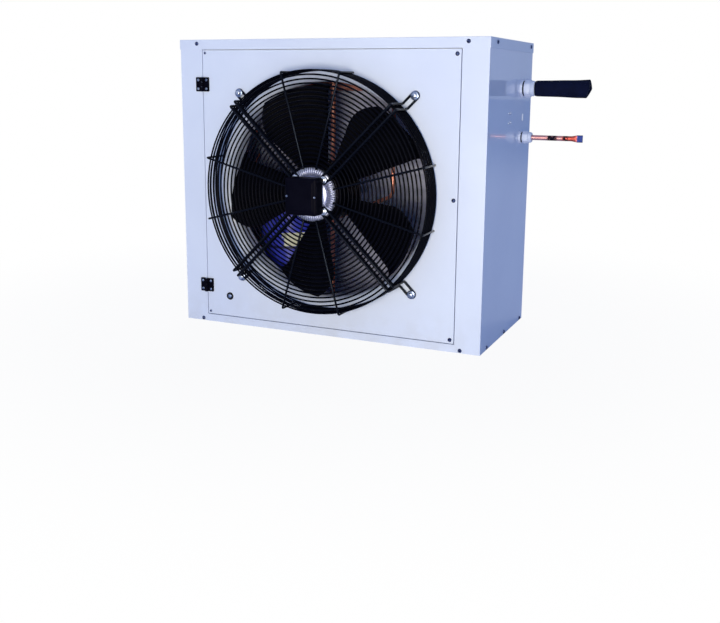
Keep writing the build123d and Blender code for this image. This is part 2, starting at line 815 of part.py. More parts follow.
# ---------------------------------------------------------------- coil: finned pack between two end plates
coil_depth = coil_back - coil_front
coil_half = inner_x - coil_side_gap
coil_high = body_top - coil_top_gap
coil_tube_count = 1 + 2 * int((coil_high - first_tube_z) / (2 * coil_tube_pitch))
coil_mid_y = (coil_front + coil_back) / 2
fin_count = int(2 * coil_half / fin_pitch)
with BuildPart() as coil_fin_pack:
    with BuildSketch(Plane.XY.offset(coil_low)):
        with Locations((0, coil_mid_y)):
            Rectangle(2 * coil_half, coil_web)
            with GridLocations(fin_pitch, 1, fin_count, 1):
                Rectangle(fin_t, coil_depth)
    extrude(amount=coil_high - coil_low)
coil_fin_pack.part.label = "coil_fin_pack"

plate_x = coil_half + end_plate_t
lip_back = inner_y - sheet
with BuildPart() as coil_end_plates:
    with BuildSketch(Plane.XY.offset(sheet)):
        with BuildLine():
            Polyline(
                (coil_half, coil_front), (plate_x, coil_front), (plate_x, lip_back - end_plate_t),
                (plate_x + end_plate_lip, lip_back - end_plate_t), (plate_x + end_plate_lip, lip_back),
                (coil_half, lip_back), close=True,
            )
        make_face()
    extrude(amount=body_top - 2 * sheet)
    mirror(about=Plane.YZ)
coil_end_plates.part.label = "coil_end_plates"

stagger = coil_tube_pitch / 2


def tube_z(number, row_y):
    """Height of a coil tube; the front row sits half a pitch lower."""
    return first_tube_z + number * coil_tube_pitch - (stagger if row_y == row_front_y else 0)


def return_bend(side, first, second):
    """A hairpin outside an end plate, from one tube mouth (y, z) to another."""
    face = side * plate_x
    tip = face + side * bend_leg
    middle = ((first[0] + second[0]) / 2, (first[1] + second[1]) / 2)
    reach = ((first[0] - second[0]) ** 2 + (first[1] - second[1]) ** 2) ** 0.5 / 2
    with BuildPart() as bend:
        with BuildLine() as hairpin:
            Line((face, *first), (tip, *first))
            ThreePointArc((tip, *first), (tip + side * reach, *middle), (tip, *second))
            Line((tip, *second), (face, *second))
        with BuildSketch(Plane(origin=(face, *first), z_dir=(side, 0, 0))):
            Circle(coil_tube_r)
        sweep()
    return bend.part


with BuildPart() as coil_return_bends:
    for row_y in (row_front_y, row_back_y):
        for number in range(0, coil_tube_count - 1, 2):
            add(return_bend(1, (row_y, tube_z(number, row_y)), (row_y, tube_z(number + 1, row_y))))
            add(return_bend(-1, (row_y, tube_z(number + 1, row_y)), (row_y, tube_z(number + 2, row_y))))
    add(return_bend(-1, (row_back_y, tube_z(0, row_back_y)), (row_front_y, tube_z(0, row_front_y))))
coil_return_bends.part.label = "coil_return_bends"

# ---------------------------------------------------------------- compressor
low_shell_r = comp_r - comp_wall - shell_fit
seam_top = comp_seam + comp_overlap
with BuildPart() as compressor_lower_shell:
    with Locations((comp_x, comp_y, comp_bottom)):
        Cylinder(low_shell_r, seam_top - comp_bottom, align=UP)
    fillet(compressor_lower_shell.edges().sort_by(Axis.Z)[0], comp_wall * 8)
    offset(amount=-comp_wall, openings=compressor_lower_shell.faces().sort_by(Axis.Z)[-1])
compressor_lower_shell.part.label = "compressor_lower_shell"

suction_port = (comp_x + comp_r / 3, comp_y + comp_r / 3)
gas_port_z = comp_seam + comp_r
with BuildPart() as compressor_upper_shell:
    with Locations((comp_x, comp_y, comp_seam)):
        Cylinder(comp_r, comp_top - comp_seam, align=UP)
    fillet(compressor_upper_shell.edges().sort_by(Axis.Z)[-1], comp_wall * 11)
    offset(amount=-comp_wall, openings=compressor_upper_shell.faces().sort_by(Axis.Z)[0])
    with Locations((*suction_port, comp_top - comp_wall)):
        Cylinder(suction_r + pipe_fit + socket_t, comp_wall + socket_depth, align=UP)
    with Locations((*suction_port, comp_top)):
        Cylinder(suction_r + pipe_fit, socket_depth, align=UP, mode=Mode.SUBTRACT)
    with Locations(Plane(origin=(comp_x + comp_r - comp_wall, comp_y, gas_port_z), z_dir=(1, 0, 0))):
        Cylinder(gas_line_r + pipe_fit + socket_t, comp_wall + socket_depth, align=UP)
    with Locations(Plane(origin=(comp_x + comp_r, comp_y, gas_port_z), z_dir=(1, 0, 0))):
        Cylinder(gas_line_r + pipe_fit, socket_depth, align=UP, mode=Mode.SUBTRACT)
compressor_upper_shell.part.label = "compressor_upper_shell"

core_low = comp_bottom + comp_wall
with BuildPart() as compressor_core:
    with Locations((comp_x, comp_y, core_low)):
        Cylinder(core_r * 0.75, core_r / 3, align=UP)
    with Locations((comp_x, comp_y, core_low + core_r / 3)):
        Cylinder(core_r, core_r, align=UP)
    with Locations((comp_x, comp_y, core_low + core_r * 4 / 3)):
        Cylinder(core_r * 0.85, core_r, align=UP)
compressor_core.part.label = "compressor_core"

foot_plate_low = comp_bottom - foot_t
with BuildPart() as compressor_foot_plate:
    with BuildSketch(Plane.XY.offset(foot_plate_low)):
        with Locations((comp_x, comp_y)):
            RectangleRounded(2 * (foot_span + grommet_r), 2 * (foot_span + grommet_r), grommet_r)
            Circle(comp_r / 2, mode=Mode.SUBTRACT)
        with Locations(*comp_feet):
            Circle(foot_hole_r, mode=Mode.SUBTRACT)
    extrude(amount=foot_t)
compressor_foot_plate.part.label = "compressor_foot_plate"

with BuildPart() as compressor_grommets:
    with BuildSketch(Plane.XY.offset(sheet)):
        with Locations(*comp_feet):
            Circle(grommet_r)
            Circle(foot_hole_r, mode=Mode.SUBTRACT)
    extrude(amount=foot_plate_low - sheet)
compressor_grommets.part.label = "compressor_grommets"

with BuildPart() as compressor_bolts:
    with BuildSketch():
        with Locations(*comp_feet):
            Circle(foot_bolt_r)
    extrude(amount=comp_bottom)
    with BuildSketch(Plane.XY.offset(comp_bottom)):
        with Locations(*comp_feet):
            RegularPolygon(foot_bolt_r * 2, 6)
    extrude(amount=foot_bolt_r * 1.5)
compressor_bolts.part.label = "compressor_bolts"

cover_side = comp_r * 0.6
with BuildPart() as compressor_terminal_cover:
    with BuildSketch(Plane.XZ.offset(-comp_y + comp_r - comp_wall * 4)):
        with Locations((comp_x, seam_top + cover_side / 2)):
            RectangleRounded(cover_side, cover_side, comp_wall * 2)
    extrude(amount=cover_side / 2)
    fillet(compressor_terminal_cover.faces().sort_by(Axis.Y)[0].edges(), comp_wall)
    with Locations((comp_x, comp_y, comp_seam)):
        Cylinder(comp_r + shell_fit, comp_top, align=UP, mode=Mode.SUBTRACT)
compressor_terminal_cover.part.label = "compressor_terminal_cover"

# ---------------------------------------------------------------- receiver
receiver_place = Plane(origin=(receiver_left, receiver_y, receiver_z), z_dir=(1, 0, 0))
receiver_length = receiver_right - receiver_left
port_r = line_r + pipe_fit
boss_r = port_r + socket_t
valve_low = receiver_z + receiver_r + line_r
with BuildPart() as receiver_hollow:
    with Locations(receiver_place.offset(receiver_wall)):
        Cylinder(receiver_r - receiver_wall, receiver_length - 2 * receiver_wall, align=UP)
    fillet(receiver_hollow.edges().filter_by(GeomType.CIRCLE), receiver_r * 0.6 - receiver_wall)
with BuildPart() as receiver:
    with Locations(receiver_place):
        Cylinder(receiver_r, receiver_length, align=UP)
    fillet(receiver.edges().filter_by(GeomType.CIRCLE), receiver_r * 0.6)
    with Locations(receiver_place.offset(-socket_depth)):
        Cylinder(boss_r, socket_depth + receiver_wall, align=UP)
    with Locations((line_x, receiver_y, receiver_z)):
        Cylinder(boss_r, valve_low - receiver_z, align=UP)
    add(receiver_hollow.part, mode=Mode.SUBTRACT)
    with Locations(receiver_place.offset(-socket_depth)):
        Cylinder(port_r, socket_depth + receiver_r, align=UP, mode=Mode.SUBTRACT)
    with Locations((line_x, receiver_y, receiver_z)):
        Cylinder(line_r - line_wall, receiver_r * 2, align=UP, mode=Mode.SUBTRACT)
receiver.part.label = "receiver"

with BuildPart() as receiver_saddles:
    for x in (receiver_left + saddle_inset, receiver_right - saddle_inset * 1.8):
        with BuildSketch(Plane(origin=(x, receiver_y, 0), x_dir=(0, 1, 0), z_dir=(1, 0, 0))):
            with Locations((0, sheet + receiver_z / 2)):
                Rectangle(2 * (receiver_r + saddle_t), receiver_z)
            with Locations((0, receiver_z)):
                Circle(receiver_r + seat_gap, mode=Mode.SUBTRACT)
                with Locations((0, receiver_r)):
                    Rectangle(4 * receiver_r, 2 * receiver_r, mode=Mode.SUBTRACT)
        extrude(amount=saddle_width)
receiver_saddles.part.label = "receiver_saddles"

valve_mid = valve_low + valve_height / 2
valve_top = valve_low + valve_height
with BuildPart() as receiver_valve:
    with Locations((line_x, receiver_y, valve_low)):
        Box(valve_width, valve_width, valve_height, align=UP)
    chamfer(receiver_valve.edges().filter_by(Axis.Z), valve_width / 8)
    with BuildSketch(Plane.XZ.offset(-receiver_y + valve_width / 2)):
        with Locations((line_x, valve_mid)):
            RegularPolygon(valve_width * 0.4, 6)
    extrude(amount=valve_width * 0.6)
    with Locations((line_x, receiver_y, valve_top)):
        Cylinder(port_r, socket_depth, align=DOWN, mode=Mode.SUBTRACT)
receiver_valve.part.label = "receiver_valve"

# ---------------------------------------------------------------- filter drier and sight glass
drier_high = drier_low + drier_length
with BuildPart() as filter_drier:
    with Locations((line_x, receiver_y, drier_low + socket_depth)):
        Cylinder(drier_r, drier_length - 2 * socket_depth, align=UP)
    fillet(filter_drier.edges().filter_by(GeomType.CIRCLE), drier_r * 0.6)
    with Locations((line_x, receiver_y, drier_low)):
        Cylinder(boss_r, drier_length, align=UP)
        Cylinder(port_r, socket_depth, align=UP, mode=Mode.SUBTRACT)
    with Locations((line_x, receiver_y, drier_high)):
        Cylinder(port_r, socket_depth, align=DOWN, mode=Mode.SUBTRACT)
filter_drier.part.label = "filter_drier"

glass_top = drier_high + glass_length
with BuildPart() as sight_glass:
    with Locations((line_x, receiver_y, drier_high)):
        Cylinder(glass_r, glass_length, align=UP)
        Cylinder(line_r, socket_depth, align=DOWN)
    with BuildSketch(Plane.XZ.offset(-receiver_y)):
        with Locations((line_x, drier_high + glass_length / 2)):
            Circle(glass_r)
    extrude(amount=glass_r * 1.4)
    with Locations((line_x, receiver_y, glass_top)):
        Cylinder(port_r, socket_depth, align=DOWN, mode=Mode.SUBTRACT)
sight_glass.part.label = "sight_glass"

# ---------------------------------------------------------------- pipework
suction_mouth_x = body_x + suction_stub_reach
suction_line = tube(
    [
        (suction_mouth_x, pipe_y, suction_z),
        (suction_port[0], pipe_y, suction_z),
        (suction_port[0], suction_port[1], suction_z),
        (*suction_port, comp_top),
    ],
    suction_r, suction_wall, suction_bend,
)
suction_line.part.label = "suction_line"

coil_top_z = tube_z(coil_tube_count - 1, row_back_y)
gas_bend_x = plate_x + 2 * line_bend
gas_riser_x = receiver_left + 2 * line_bend
discharge_line = tube(
    [
        (comp_x + comp_r, comp_y, gas_port_z),
        (comp_x + comp_r + 3 * line_bend, comp_y, gas_port_z),
        (gas_riser_x, comp_y, gas_port_z + 3 * line_bend),
        (gas_riser_x, comp_y, coil_top_z),
        (gas_bend_x, comp_y, coil_top_z),
        (gas_bend_x, row_back_y, coil_top_z),
        (plate_x, row_back_y, coil_top_z),
    ],
    gas_line_r, line_wall, line_bend,
)
discharge_line.part.label = "discharge_line"

liquid_top_z = tube_z(coil_tube_count - 1, row_front_y)
drop_bend_x = plate_x + line_bend * 0.8
drop_back_y = pipe_y - line_bend / 2
drop_line = tube(
    [
        (plate_x, row_front_y, liquid_top_z),
        (drop_bend_x, row_front_y, liquid_top_z),
        (drop_bend_x, drop_back_y, liquid_top_z),
        (riser_x, drop_back_y, liquid_top_z),
        (riser_x, receiver_y, liquid_top_z),
        (riser_x, receiver_y, receiver_z),
        (receiver_left, receiver_y, receiver_z),
    ],
    line_r, line_wall, line_bend * 0.7,
)
drop_line.part.label = "drop_line"

liquid_line_lower = tube(
    [(line_x, receiver_y, valve_top - socket_depth), (line_x, receiver_y, drier_low + socket_depth)],
    line_r, line_wall, line_bend,
)
liquid_line_lower.part.label = "liquid_line_lower"

liquid_mouth_x = body_x + liquid_stub_reach
pinch_start = Plane(origin=(liquid_mouth_x, pipe_y, liquid_z), x_dir=(0, 1, 0), z_dir=(1, 0, 0))
with BuildPart() as liquid_line_upper:
    add(
        tube(
            [
                (liquid_mouth_x, pipe_y, liquid_z),
                (line_x, pipe_y, liquid_z),
                (line_x, receiver_y, liquid_z),
                (line_x, receiver_y, glass_top - socket_depth),
            ],
            line_r, line_wall, line_bend,
        ).part
    )
    # the stub is pinched flat at its end to hold the charge
    with BuildSketch(pinch_start):
        Circle(line_r)
    with BuildSketch(pinch_start.offset(pinch_length)):
        RectangleRounded(pinch_t, pinch_height, pinch_t * 0.45)
    loft()
    with BuildSketch(pinch_start.offset(pinch_length)):
        RectangleRounded(pinch_t, pinch_height, pinch_t * 0.45)
    extrude(amount=pinch_flat)
liquid_line_upper.part.label = "liquid_line_upper"

insulation_start = suction_gland_reach + seal_clearance
with BuildPart() as suction_insulation:
    with BuildSketch(suction_gland_place.offset(insulation_start)):
        Circle(suction_r + insulation_t)
    with BuildSketch(suction_gland_place.offset(insulation_reach)):
        Circle(suction_r + insulation_t + insulation_flare)
    loft()
    with Locations(suction_gland_place):
        Cylinder(suction_r + seat_gap, insulation_reach, align=UP, mode=Mode.SUBTRACT)
    cut_x = body_x + insulation_reach - insulation_flare
    oblique = Plane(origin=(cut_x, pipe_y, suction_z), z_dir=(1, 0, -insulation_slant))
    split(bisect_by=oblique, keep=Keep.BOTTOM)
suction_insulation.part.label = "suction_insulation"

# ---------------------------------------------------------------- glands
glands = (
    (suction_gland_place, suction_gland_af, suction_gland_reach, suction_r),
    (liquid_gland_place, liquid_gland_af, liquid_gland_reach, line_r),
)
with BuildPart() as gland_bodies:
    for place, across, reach, pipe_r in glands:
        with BuildSketch(place):
            RegularPolygon(across / 2, 6, major_radius=False)
        extrude(amount=gland_hex_share * reach)
        with Locations(place.offset(-2 * sheet - locknut_t)):
            Cylinder(thread_share * across, 2 * sheet + locknut_t, align=UP)
        with Locations(place.offset(gland_hex_share * reach)):
            Cylinder(thread_share * across - 2 * sheet, reach * 0.36, align=UP)
        with Locations(place.offset(-2 * sheet - locknut_t)):
            Cylinder(pipe_r + thread_fit, 2 * reach, align=UP, mode=Mode.SUBTRACT)
gland_bodies.part.label = "gland_bodies"

with BuildPart() as gland_nuts:
    for place, across, reach, pipe_r in glands:
        nut_low = gland_hex_share * reach + thread_fit
        with BuildSketch(place.offset(nut_low)):
            RegularPolygon(across / 2, 6, major_radius=False)
        extrude(amount=reach * 0.45)
        with Locations(place.offset(nut_low)):
            Cylinder(thread_share * across + sheet, reach - nut_low, align=UP)
        clamp_r = thread_share * across - 2 * sheet + thread_fit
        with Locations(place.offset(nut_low)):
            Cylinder(clamp_r, reach - nut_low - 2 * sheet, align=UP, mode=Mode.SUBTRACT)
            Cylinder(pipe_r + thread_fit, reach, align=UP, mode=Mode.SUBTRACT)
    nut_rims = gland_nuts.edges().filter_by(GeomType.CIRCLE).group_by(Axis.X)[-1]
    fillet(nut_rims.sort_by(SortBy.RADIUS)[-1], sheet)
gland_nuts.part.label = "gland_nuts"

with BuildPart() as gland_seals:
    for place, across, reach, pipe_r in glands:
        seal_low = (gland_hex_share + 0.36) * reach + pipe_fit
        with Locations(place.offset(seal_low)):
            Cylinder(thread_share * across - 2 * sheet, reach - 2 * sheet - pipe_fit - seal_low, align=UP)
            Cylinder(pipe_r + pipe_fit, reach, align=UP, mode=Mode.SUBTRACT)
gland_seals.part.label = "gland_seals"

with BuildPart() as gland_locknuts:
    for place, across, reach, pipe_r in glands:
        with BuildSketch(place.offset(-sheet)):
            RegularPolygon(across / 2, 6, major_radius=False)
            Circle(thread_share * across + pipe_fit, mode=Mode.SUBTRACT)
        extrude(amount=-locknut_t)
gland_locknuts.part.label = "gland_locknuts"

# ---------------------------------------------------------------- electrical box and pressure switch
box_width = box_back - box_front
box_mid = (box_front + box_back) / 2
box_height = box_high - box_low
box_mid_z = (box_low + box_high) / 2
cover_t = sheet
box_plane = Plane(origin=(inner_x, box_mid, box_mid_z), x_dir=(0, -1, 0), z_dir=(-1, 0, 0))
with BuildPart() as electrical_box:
    with BuildSketch(box_plane):
        RectangleRounded(box_width, box_height, 2 * box_wall)
    extrude(amount=box_depth - cover_t)
    offset(amount=-box_wall, openings=electrical_box.faces().sort_by(Axis.X)[0])
electrical_box.part.label = "electrical_box"

with BuildPart() as electrical_cover:
    with BuildSketch(box_plane.offset(box_depth - cover_t)):
        RectangleRounded(box_width, box_height, 2 * box_wall)
    extrude(amount=cover_t)
electrical_cover.part.label = "electrical_cover"

bracket_half = switch_rivet_span * 0.7
arm_z = switch_z - switch_rivet_span
arm_reach = 4 * rivet_head_r + 2 * switch_rivet_span - bracket_half
with BuildPart() as pressure_switch_bracket:
    with BuildSketch(Plane.XZ.offset(-switch_y - bracket_half)):
        with BuildLine():
            Polyline(
                (inner_x, arm_z - bracket_t), (inner_x, switch_z + switch_rivet_span),
                (inner_x - bracket_t, switch_z + switch_rivet_span), (inner_x - bracket_t, arm_z),
                (inner_x - arm_reach, arm_z), (inner_x - arm_reach, arm_z - bracket_t), close=True,
            )
        make_face()
    extrude(amount=2 * bracket_half)
    with Locations(*panel_rivet_places):
        Hole(rivet_r + rivet_fit, depth=3 * sheet + bracket_t)
pressure_switch_bracket.part.label = "pressure_switch_bracket"

switch_r = bracket_half
with BuildPart() as pressure_switch:
    with Locations((inner_x - arm_reach + switch_r, switch_y, arm_z)):
        Cylinder(switch_r, 2 * switch_rivet_span, align=UP)
    chamfer(pressure_switch.edges().filter_by(GeomType.CIRCLE), sheet)
pressure_switch.part.label = "pressure_switch"

panel_rivet = headed_pin(rivet_head_r, rivet_head_r / 2, rivet_r, sheet + bracket_t)
with BuildPart() as panel_rivets:
    with Locations(*panel_rivet_places):
        add(panel_rivet)
panel_rivets.part.label = "panel_rivets"

with BuildPart() as side_plug:
    with BuildSketch(slot_place):
        SlotOverall(slot_length + 2 * slot_lip, slot_width + 2 * slot_lip)
    extrude(amount=slot_lip)
    fillet(side_plug.edges().group_by(Axis.X)[-1], slot_lip / 2)
    with BuildSketch(slot_place):
        SlotOverall(slot_length, slot_width)
    extrude(amount=-2 * sheet)
side_plug.part.label = "side_plug"

# ---------------------------------------------------------------- one file for each piece
pieces = (
    base_pan, front_frame, left_side_panel, right_side_panel, roof_panel, roof_screws, base_screws,
    door_panel, door_seal, door_screws, door_rivets, blind_plug,
    hinge_frame_leaves, hinge_door_leaves, hinge_pins,
    guard_front_rings, guard_side_rings, guard_spokes, guard_arms, guard_washers, guard_bolts,
    motor_stator, motor_bolts, motor_terminal_box, motor_terminal_cover, rotor, impeller,
    coil_fin_pack, coil_end_plates, coil_return_bends,
    compressor_lower_shell, compressor_upper_shell, compressor_core, compressor_foot_plate,
    compressor_grommets, compressor_bolts, compressor_terminal_cover,
    receiver, receiver_saddles, receiver_valve, filter_drier, sight_glass,
    suction_line, suction_insulation, discharge_line, drop_line, liquid_line_lower, liquid_line_upper,
    gland_bodies, gland_nuts, gland_seals, gland_locknuts,
    electrical_box, electrical_cover, pressure_switch_bracket, pressure_switch, panel_rivets, side_plug,
)
for piece in pieces:
    export_step(piece.part, f"parts/{piece.part.label}.step")
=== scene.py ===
import json
import math
from functools import partial

import bmesh
import bpy
import numpy as np
from mathutils import Matrix, Vector


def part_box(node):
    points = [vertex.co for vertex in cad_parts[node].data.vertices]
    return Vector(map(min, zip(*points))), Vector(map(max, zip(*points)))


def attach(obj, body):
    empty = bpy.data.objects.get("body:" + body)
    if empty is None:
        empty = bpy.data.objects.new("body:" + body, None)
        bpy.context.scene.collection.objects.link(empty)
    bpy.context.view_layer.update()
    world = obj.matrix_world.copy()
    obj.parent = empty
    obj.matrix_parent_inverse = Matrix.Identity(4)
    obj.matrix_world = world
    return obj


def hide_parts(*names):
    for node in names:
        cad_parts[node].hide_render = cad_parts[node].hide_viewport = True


# A refrigeration condensing unit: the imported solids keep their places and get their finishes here,
# and the wire guard, blades, motor, hinges, fins, glands and lagging are worked out again in finer
# form. Metres, +X to the right, +Y to the rear, +Z up.

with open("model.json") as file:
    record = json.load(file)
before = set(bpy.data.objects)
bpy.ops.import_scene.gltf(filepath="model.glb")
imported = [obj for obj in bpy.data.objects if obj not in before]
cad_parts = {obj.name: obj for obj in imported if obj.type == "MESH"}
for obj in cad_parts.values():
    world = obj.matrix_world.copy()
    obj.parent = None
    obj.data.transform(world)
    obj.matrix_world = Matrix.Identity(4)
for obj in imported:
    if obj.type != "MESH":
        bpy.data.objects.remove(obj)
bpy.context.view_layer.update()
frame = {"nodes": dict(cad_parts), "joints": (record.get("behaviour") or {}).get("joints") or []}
nodes = frame["nodes"]
joints = {joint["name"]: joint for joint in frame["joints"]}
hub = np.array(joints["fan_spin"]["pos_m"], float)

MM = 0.001
TURN = 2 * math.pi
OFF_DOOR = (0, -1, 0)


# ------------------------------------------------------------------ shader maths
def add_node(tree, kind, settings, inputs):
    """One node of a tree, with its settings and the numbers or links of its sockets."""
    made = tree.nodes.new("ShaderNode" + kind)
    for name, setting in settings.items():
        setattr(made, name, setting)
    for socket, given in inputs.items():
        given = given.socket if isinstance(given, Value) else given
        if isinstance(given, bpy.types.NodeSocket):
            tree.links.new(given, made.inputs[socket])
        else:
            made.inputs[socket].default_value = given
    return made


class Value:
    """A socket that carries one number over the surface; the usual operators add Math nodes."""

    def __init__(self, finish, socket):
        self.finish = finish
        self.socket = socket

    def maths(self, operation, *others):
        """A Math node on this value and others, which may be plain numbers."""
        return self.finish.node("Math", {"operation": operation}, dict(enumerate((self, *others))))

    def __add__(self, other):
        return self.maths("ADD", other)

    __radd__ = __add__

    def __mul__(self, other):
        return self.maths("MULTIPLY", other)

    __rmul__ = __mul__

    def __sub__(self, other):
        return self.maths("SUBTRACT", other)

    def __rsub__(self, other):
        return self * -1 + other

    def within(self, low, high):
        """0 below low, 1 above high, and a smooth rise between them; low may be the larger."""
        settings = {"interpolation_type": "SMOOTHSTEP"}
        return self.finish.node("MapRange", settings, {0: self, 1: low, 2: high, 3: 0.0, 4: 1.0})

    def size(self):
        """This value without its sign."""
        return self.maths("ABSOLUTE")


class Finish:
    """One material: a Principled shader and what feeds it."""

    def __init__(self, name, **constants):
        self.material = bpy.data.materials.new(name)
        self.material.use_nodes = True
        self.tree = self.material.node_tree
        self.shader = self.tree.nodes["Principled BSDF"]
        for socket, number in constants.items():
            self.shader.inputs[socket.replace("_", " ")].default_value = number
        coordinates = self.tree.nodes.new("ShaderNodeTexCoord")
        self.place = coordinates.outputs["Object"]
        split = add_node(self.tree, "SeparateXYZ", {}, {0: self.place})
        self.x, self.y, self.z = [Value(self, out) for out in split.outputs]

    def node(self, kind, settings, inputs, output=0):
        """Any node by its type, its settings, and the values or links of its sockets."""
        return Value(self, add_node(self.tree, kind, settings, inputs).outputs[output])

    def spots(self, size, detail=2.0, rough=0.5, stretch=(1, 1, 1)):
        """Noise from 0 to 1 whose features are about size metres across, stretched along each
        axis."""
        scale = tuple(1 / s for s in stretch)
        spread = self.node("Mapping", {}, {"Vector": self.place, "Scale": scale})
        sockets = {"Vector": spread, "Scale": 1 / size, "Detail": detail, "Roughness": rough}
        return self.node("TexNoise", {}, sockets, "Fac")

    def cells(self, size):
        """Distance to the nearest of scattered points about size metres apart, in those units."""
        return self.node("TexVoronoi", {}, {"Vector": self.place, "Scale": 1 / size}, "Distance")

    def blend(self, first, second, share):
        """A colour between two colours."""
        first, second = [(*c, 1) if isinstance(c, tuple) else c for c in (first, second)]
        settings = {"data_type": "RGBA", "clamp_factor": True}
        return self.node("Mix", settings, {0: share, 6: first, 7: second}, 2)

    def feed(self, socket, value):
        """Link a value to a socket of the shader, or set it to a plain number."""
        if isinstance(value, Value):
            self.tree.links.new(value.socket, self.shader.inputs[socket])
        else:
            self.shader.inputs[socket].default_value = value
        return self

    def relief(self, height, depth):
        """Bump of this height map, depth metres deep where the map is 1."""
        return self.feed("Normal", self.node("Bump", {}, {"Height": height, "Distance": depth}))


def shade(red, green, blue):
    """A colour written in screen values from 0 to 255, as the light values that shaders take."""
    share = np.array([red, green, blue]) / 255
    curve = ((share + 0.055) / 1.055) ** 2.4
    return tuple(np.where(share <= 0.04045, share / 12.92, curve).tolist())


# ------------------------------------------------------------------ finishes
def mottled(name, patches, dark, light, rough, grain, window=(), **constants):
    """A finish whose colour drifts between two shades in patches, which a window can sharpen.
    rough is the least roughness and what the patches add; grain is the size, detail and depth of
    the bump."""
    f = Finish(name, **constants)
    drift = f.spots(*patches)
    share = drift.within(*window) if window else drift
    f.feed("Base Color", f.blend(shade(*dark), shade(*light), share))
    f.feed("Roughness", rough[0] + drift * rough[1])
    size, detail, depth = grain
    return f.relief(f.spots(size, detail), depth)


def lavender(f, pale, paler, peel):
    """The coat's colour in faint clouds and its roughness; it gives f an orange peel this deep."""
    f.relief(f.spots(0.0022, 1), peel)
    clouds = f.spots(0.22, 3).within(0.3, 0.75)
    return f.blend(pale, paler, clouds), 0.34 + f.spots(0.03, 3) * 0.10


def powder_coat():
    """Pale lavender powder coat: fine orange peel, faint clouds, and dust that gathers low down."""
    f = Finish("powder_coat", IOR=1.5, Coat_Roughness=0.07)
    dust = f.z.within(0.12, 0.0) * f.spots(0.05, 4).within(0.35, 0.7)
    paint, rough = lavender(f, shade(206, 215, 238), shade(212, 221, 242), 0.00005)
    f.feed("Base Color", f.blend(paint, shade(188, 192, 204), dust * 0.35))
    f.feed("Roughness", rough + dust * 0.15)
    return f.feed("Coat Weight", 0.3)


def lined_coat():
    """The right panel: the same coat at a higher gloss outside, and painted shade inside: its inner
    face is coloured near black and its coat is taken off.
    """
    f = Finish("lined_coat", IOR=1.5, Coat_Roughness=0.025)
    low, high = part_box("right_side_panel")
    shallow, deep = 0.6 * MM, 0.8 * MM
    inside = f.x.within(high[0] - shallow, high[0] - deep)
    inside = inside * f.y.within(high[1] - shallow, high[1] - deep)
    inside = inside * f.y.within(low[1] + shallow, low[1] + deep)
    paint, rough = lavender(f, shade(206, 215, 240), shade(212, 221, 244), 0.00004)
    # painted shade: the inner face is near black to stand in for the shade inside the casing
    painted_shade = f.blend(shade(10, 10, 16), shade(24, 25, 34), f.spots(0.012, 3))
    f.feed("Base Color", f.blend(paint, painted_shade, inside))
    f.feed("Roughness", rough + inside * 0.4)
    return f.feed("Coat Weight", 0.65 - inside * 0.65)


def seal_foam():
    """Closed-cell strip in the door's gap, coloured near white: painted light that offsets the shade
    deep in the gap.
    """
    f = Finish("seal_foam", IOR=1.4)
    cell = f.cells(0.0009)
    # painted light: the strip is near white so that the shaded gap reads pale
    f.feed("Base Color", f.blend(shade(232, 238, 252), shade(248, 250, 255), f.spots(0.02, 3)))
    f.feed("Roughness", 0.75 + cell * 0.1)
    return f.relief(cell, 0.00015)


def zinc_plate():
    """Blue-bright zinc on small steel hardware: mottled, with fine turning marks."""
    return mottled("zinc_plate", (0.004, 2), (96, 112, 150), (176, 188, 212), (0.20, 0.22),
                   (0.0008, 1, 0.00003), window=(0.3, 0.7), Metallic=1.0)


def bright_steel():
    """Bright stainless steel of bolts and rivets: polished, with a few dull patches."""
    return mottled("bright_steel", (0.003, 2), (196, 204, 222), (240, 243, 250), (0.16, 0.16),
                   (0.0008, 1, 0.00002), window=(0.3, 0.7), Metallic=1.0)


def dark_zinc():
    """Blue-black passivated zinc on the casing's screws: glossy, mottled."""
    return mottled("dark_zinc", (0.003, 2), (34, 42, 78), (112, 124, 164), (0.18, 0.2),
                   (0.0008, 1, 0.00003), window=(0.35, 0.75), Metallic=1.0)


def dipped_wire():
    """Black dip coat on steel wire: satin, slightly lumpy, worn thin in small places."""
    f = Finish("dipped_wire", IOR=1.45, Specular_IOR_Level=0.05)
    wear = f.spots(0.012, 4, 0.6).within(0.70, 0.82)
    f.feed("Base Color", f.blend(shade(3, 4, 14), shade(26, 30, 48), wear))
    f.feed("Roughness", 0.26 + f.spots(0.006, 2) * 0.16)
    return f.relief(f.spots(0.003, 2), 0.00006)


def gloss_wire():
    """Black gloss coat on the heavier wire: smooth, with sharp highlights."""
    f = Finish("gloss_wire", IOR=1.5, Specular_IOR_Level=0.16, Specular_Tint=(0.55, 0.68, 1, 1))
    wear = f.spots(0.012, 4, 0.6).within(0.72, 0.84)
    f.feed("Base Color", f.blend(shade(4, 5, 12), shade(36, 38, 52), wear))
    f.feed("Roughness", 0.16 + f.spots(0.01, 2) * 0.12)
    return f.relief(f.spots(0.004, 2), 0.00005)


def blade_coat():
    """Black powder on pressed steel blades: satin and grainy, with a film of dust in patches."""
    f = Finish("blade_coat", IOR=1.45, Specular_IOR_Level=0.035)
    dust = f.spots(0.03, 4, 0.6).within(0.5, 0.85)
    f.feed("Base Color", f.blend(shade(4, 4, 9), shade(16, 17, 24), dust))
    f.feed("Roughness", 0.42 + f.spots(0.02, 3) * 0.2)
    return f.relief(f.spots(0.0016, 2), 0.00005)


def moulded_black():
    """Black glass-filled plastic with a fine spark-eroded grain."""
    return mottled("moulded_black", (0.02, 3), (3, 3, 12), (9, 9, 22), (0.38, 0.16),
                   (0.0007, 1, 0.00005), IOR=1.45, Specular_IOR_Level=0.03)


def moulded_grey():
    """Light grey polyamide: smooth, a little waxy, with faint flow marks."""
    return mottled("moulded_grey", (0.01, 3, 0.5, (3, 1, 1)), (184, 196, 226), (202, 211, 236),
                   (0.32, 0.14), (0.0012, 1, 0.00003), IOR=1.5)


